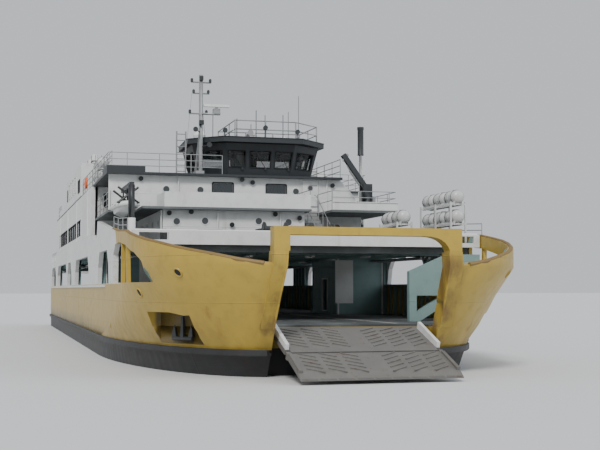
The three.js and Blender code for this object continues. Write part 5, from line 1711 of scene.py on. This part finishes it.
def build_stage():
    stage = bpy.context.scene.ferry_stage
    mesh = bpy.data.meshes.new("floor")
    corners = ((-1, -1), (1, -1), (1, 1), (-1, 1))
    mesh.from_pydata([(x * FLOOR_REACH, y * FLOOR_REACH, 0) for x, y in corners], [], [(0, 1, 2, 3)])
    matte = Finish("studio_floor", roughness=0.85)
    matte.set("Base Color", matte.mix(matte.noise(9, 3), tint(stage.floor, 0.98), tint(stage.floor, 1.02)))
    mesh.materials.append(matte.material)
    put_in_scene("floor", mesh)

    world = bpy.data.worlds.new("studio")
    world.use_nodes = True
    background = world.node_tree.nodes["Background"]
    background.inputs[0].default_value = (0.86, 0.9, 0.95, 1)
    background.inputs[1].default_value = stage.sky
    bpy.context.scene.world = world
    for name, power, turn, spread, rgb in (
        ("key_light", stage.key, (48, 0, 62), 14, (1, 0.97, 0.93)),
        ("fill_light", stage.key * 0.3, (62, 0, 150), 40, (0.88, 0.93, 1)),
    ):
        light = bpy.data.lights.new(name, "SUN")
        light.energy = power
        light.angle = math.radians(spread)
        light.color = rgb
        put_in_scene(name, light).rotation_euler = Euler([math.radians(v) for v in turn])

    camera = bpy.data.cameras.new("camera")
    camera.lens = stage.lens
    camera.sensor_width = 36
    camera.clip_end = 1000
    eye = put_in_scene("camera", camera)
    eye.location = at(*EYE)
    eye.rotation_euler = (at(*TARGET) - eye.location).to_track_quat("-Z", "Y").to_euler()
    bpy.context.scene.camera = eye


# Add-on.


def finished(context, build):
    """Runs a builder, with the paints mixed first."""
    if not PAINTS:
        mix_paints(context.scene)
    build()
    return {"FINISHED"}


class Undoable:
    """Lets an operator of the ferry be undone."""

    bl_options = {"REGISTER", "UNDO"}


class FERRY_OT_stage(Undoable, bpy.types.Operator):
    """Adds the floor, lights and camera"""

    bl_idname = "ferry.stage"
    bl_label = "Stage"

    def execute(self, context):
        return finished(context, build_stage)


class FERRY_OT_paint(Undoable, bpy.types.Operator):
    """Gives every solid its paint"""

    bl_idname = "ferry.paint"
    bl_label = "Paint"

    def execute(self, context):
        return finished(context, paint_solids)


class FERRY_OT_rails(Undoable, bpy.types.Operator):
    """Adds posts and rails round the decks"""

    bl_idname = "ferry.rails"
    bl_label = "Guard rails"

    def execute(self, context):
        return finished(context, build_rails)


class FERRY_OT_windows(Undoable, bpy.types.Operator):
    """Adds portlights and windows to the houses"""

    bl_idname = "ferry.windows"
    bl_label = "Windows"

    def execute(self, context):
        return finished(context, build_windows)


class FERRY_OT_wheelhouse(Undoable, bpy.types.Operator):
    """Adds seals, wipers, aerials and lamps"""

    bl_idname = "ferry.wheelhouse"
    bl_label = "Wheelhouse"

    def execute(self, context):
        return finished(context, build_wheelhouse)


class FERRY_OT_mast(Undoable, bpy.types.Operator):
    """Adds lights and lines to the mast"""

    bl_idname = "ferry.mast"
    bl_label = "Mast"

    def execute(self, context):
        return finished(context, build_mast)


class FERRY_OT_doors(Undoable, bpy.types.Operator):
    """Adds handles, hinges and frames"""

    bl_idname = "ferry.doors"
    bl_label = "Doors"

    def execute(self, context):
        return finished(context, build_doors)


class FERRY_OT_vehicle_deck(Undoable, bpy.types.Operator):
    """Adds beams, frames, pipes and lamps"""

    bl_idname = "ferry.vehicle_deck"
    bl_label = "Vehicle deck"

    def execute(self, context):
        return finished(context, build_vehicle_deck)


class FERRY_OT_bow(Undoable, bpy.types.Operator):
    """Adds the rims, stays, strakes, fairleads, coaming and bitts"""

    bl_idname = "ferry.bow"
    bl_label = "Bow"

    def execute(self, context):
        return finished(context, build_bow)


class FERRY_OT_anchors(Undoable, bpy.types.Operator):
    """Adds the anchors in their pockets"""

    bl_idname = "ferry.anchors"
    bl_label = "Anchors"

    def execute(self, context):
        return finished(context, build_anchors)


class FERRY_OT_ramps(Undoable, bpy.types.Operator):
    """Adds grip bars, curbs and ribs"""

    bl_idname = "ferry.ramps"
    bl_label = "Ramps"

    def execute(self, context):
        return finished(context, build_ramps)


class FERRY_OT_casings(Undoable, bpy.types.Operator):
    """Adds louvres, collars and ladders"""

    bl_idname = "ferry.casings"
    bl_label = "Casings"

    def execute(self, context):
        return finished(context, build_casings)


class FERRY_OT_crane(Undoable, bpy.types.Operator):
    """Adds the crane's fittings"""

    bl_idname = "ferry.crane"
    bl_label = "Crane"

    def execute(self, context):
        return finished(context, build_crane)


class FERRY_OT_rafts(Undoable, bpy.types.Operator):
    """Adds straps and releases"""

    bl_idname = "ferry.rafts"
    bl_label = "Life rafts"

    def execute(self, context):
        return finished(context, build_rafts)


class FERRY_OT_rescue_boat(Undoable, bpy.types.Operator):
    """Builds the rescue boat and its cradle"""

    bl_idname = "ferry.rescue_boat"
    bl_label = "Rescue boat"

    def execute(self, context):
        return finished(context, build_rescue_boat)


class FERRY_OT_deck_gear(Undoable, bpy.types.Operator):
    """Adds vents, lockers, benches and lifebuoys"""

    bl_idname = "ferry.deck_gear"
    bl_label = "Deck gear"

    def execute(self, context):
        return finished(context, build_deck_gear)


class FERRY_OT_stern(Undoable, bpy.types.Operator):
    """Adds the stern frame's ribs, fairleads and mouldings"""

    bl_idname = "ferry.stern"
    bl_label = "Stern"

    def execute(self, context):
        return finished(context, build_stern)


STEPS = [
    FERRY_OT_stage,
    FERRY_OT_paint,
    FERRY_OT_rails,
    FERRY_OT_windows,
    FERRY_OT_wheelhouse,
    FERRY_OT_mast,
    FERRY_OT_doors,
    FERRY_OT_vehicle_deck,
    FERRY_OT_bow,
    FERRY_OT_anchors,
    FERRY_OT_ramps,
    FERRY_OT_casings,
    FERRY_OT_crane,
    FERRY_OT_rafts,
    FERRY_OT_rescue_boat,
    FERRY_OT_deck_gear,
    FERRY_OT_stern,
]


class FERRY_PT_panel(bpy.types.Panel):
    """Lists the ferry's builders."""

    bl_label = "Ferry"
    bl_space_type = "VIEW_3D"
    bl_region_type = "UI"
    bl_category = "Ferry"

    def draw(self, context):
        for made in STEPS:
            self.layout.operator(made.bl_idname)
        for group in (context.scene.ferry_paints, context.scene.ferry_sizes, context.scene.ferry_stage):
            box = self.layout.box()
            for name in group.__annotations__:
                box.prop(group, name)


CLASSES = [FerryPaints, FerrySizes, FerryStage, *STEPS, FERRY_PT_panel]


def register():
    for made in CLASSES:
        bpy.utils.register_class(made)
    bpy.types.Scene.ferry_paints = PointerProperty(type=FerryPaints)
    bpy.types.Scene.ferry_sizes = PointerProperty(type=FerrySizes)
    bpy.types.Scene.ferry_stage = PointerProperty(type=FerryStage)


def unregister():
    for name in ("ferry_paints", "ferry_sizes", "ferry_stage"):
        delattr(bpy.types.Scene, name)
    for made in reversed(CLASSES):
        bpy.utils.unregister_class(made)


def main():
    register()
    for made in STEPS:
        group, name = made.bl_idname.split(".")
        getattr(getattr(bpy.ops, group), name)()


if __name__ == "__main__":
    main()
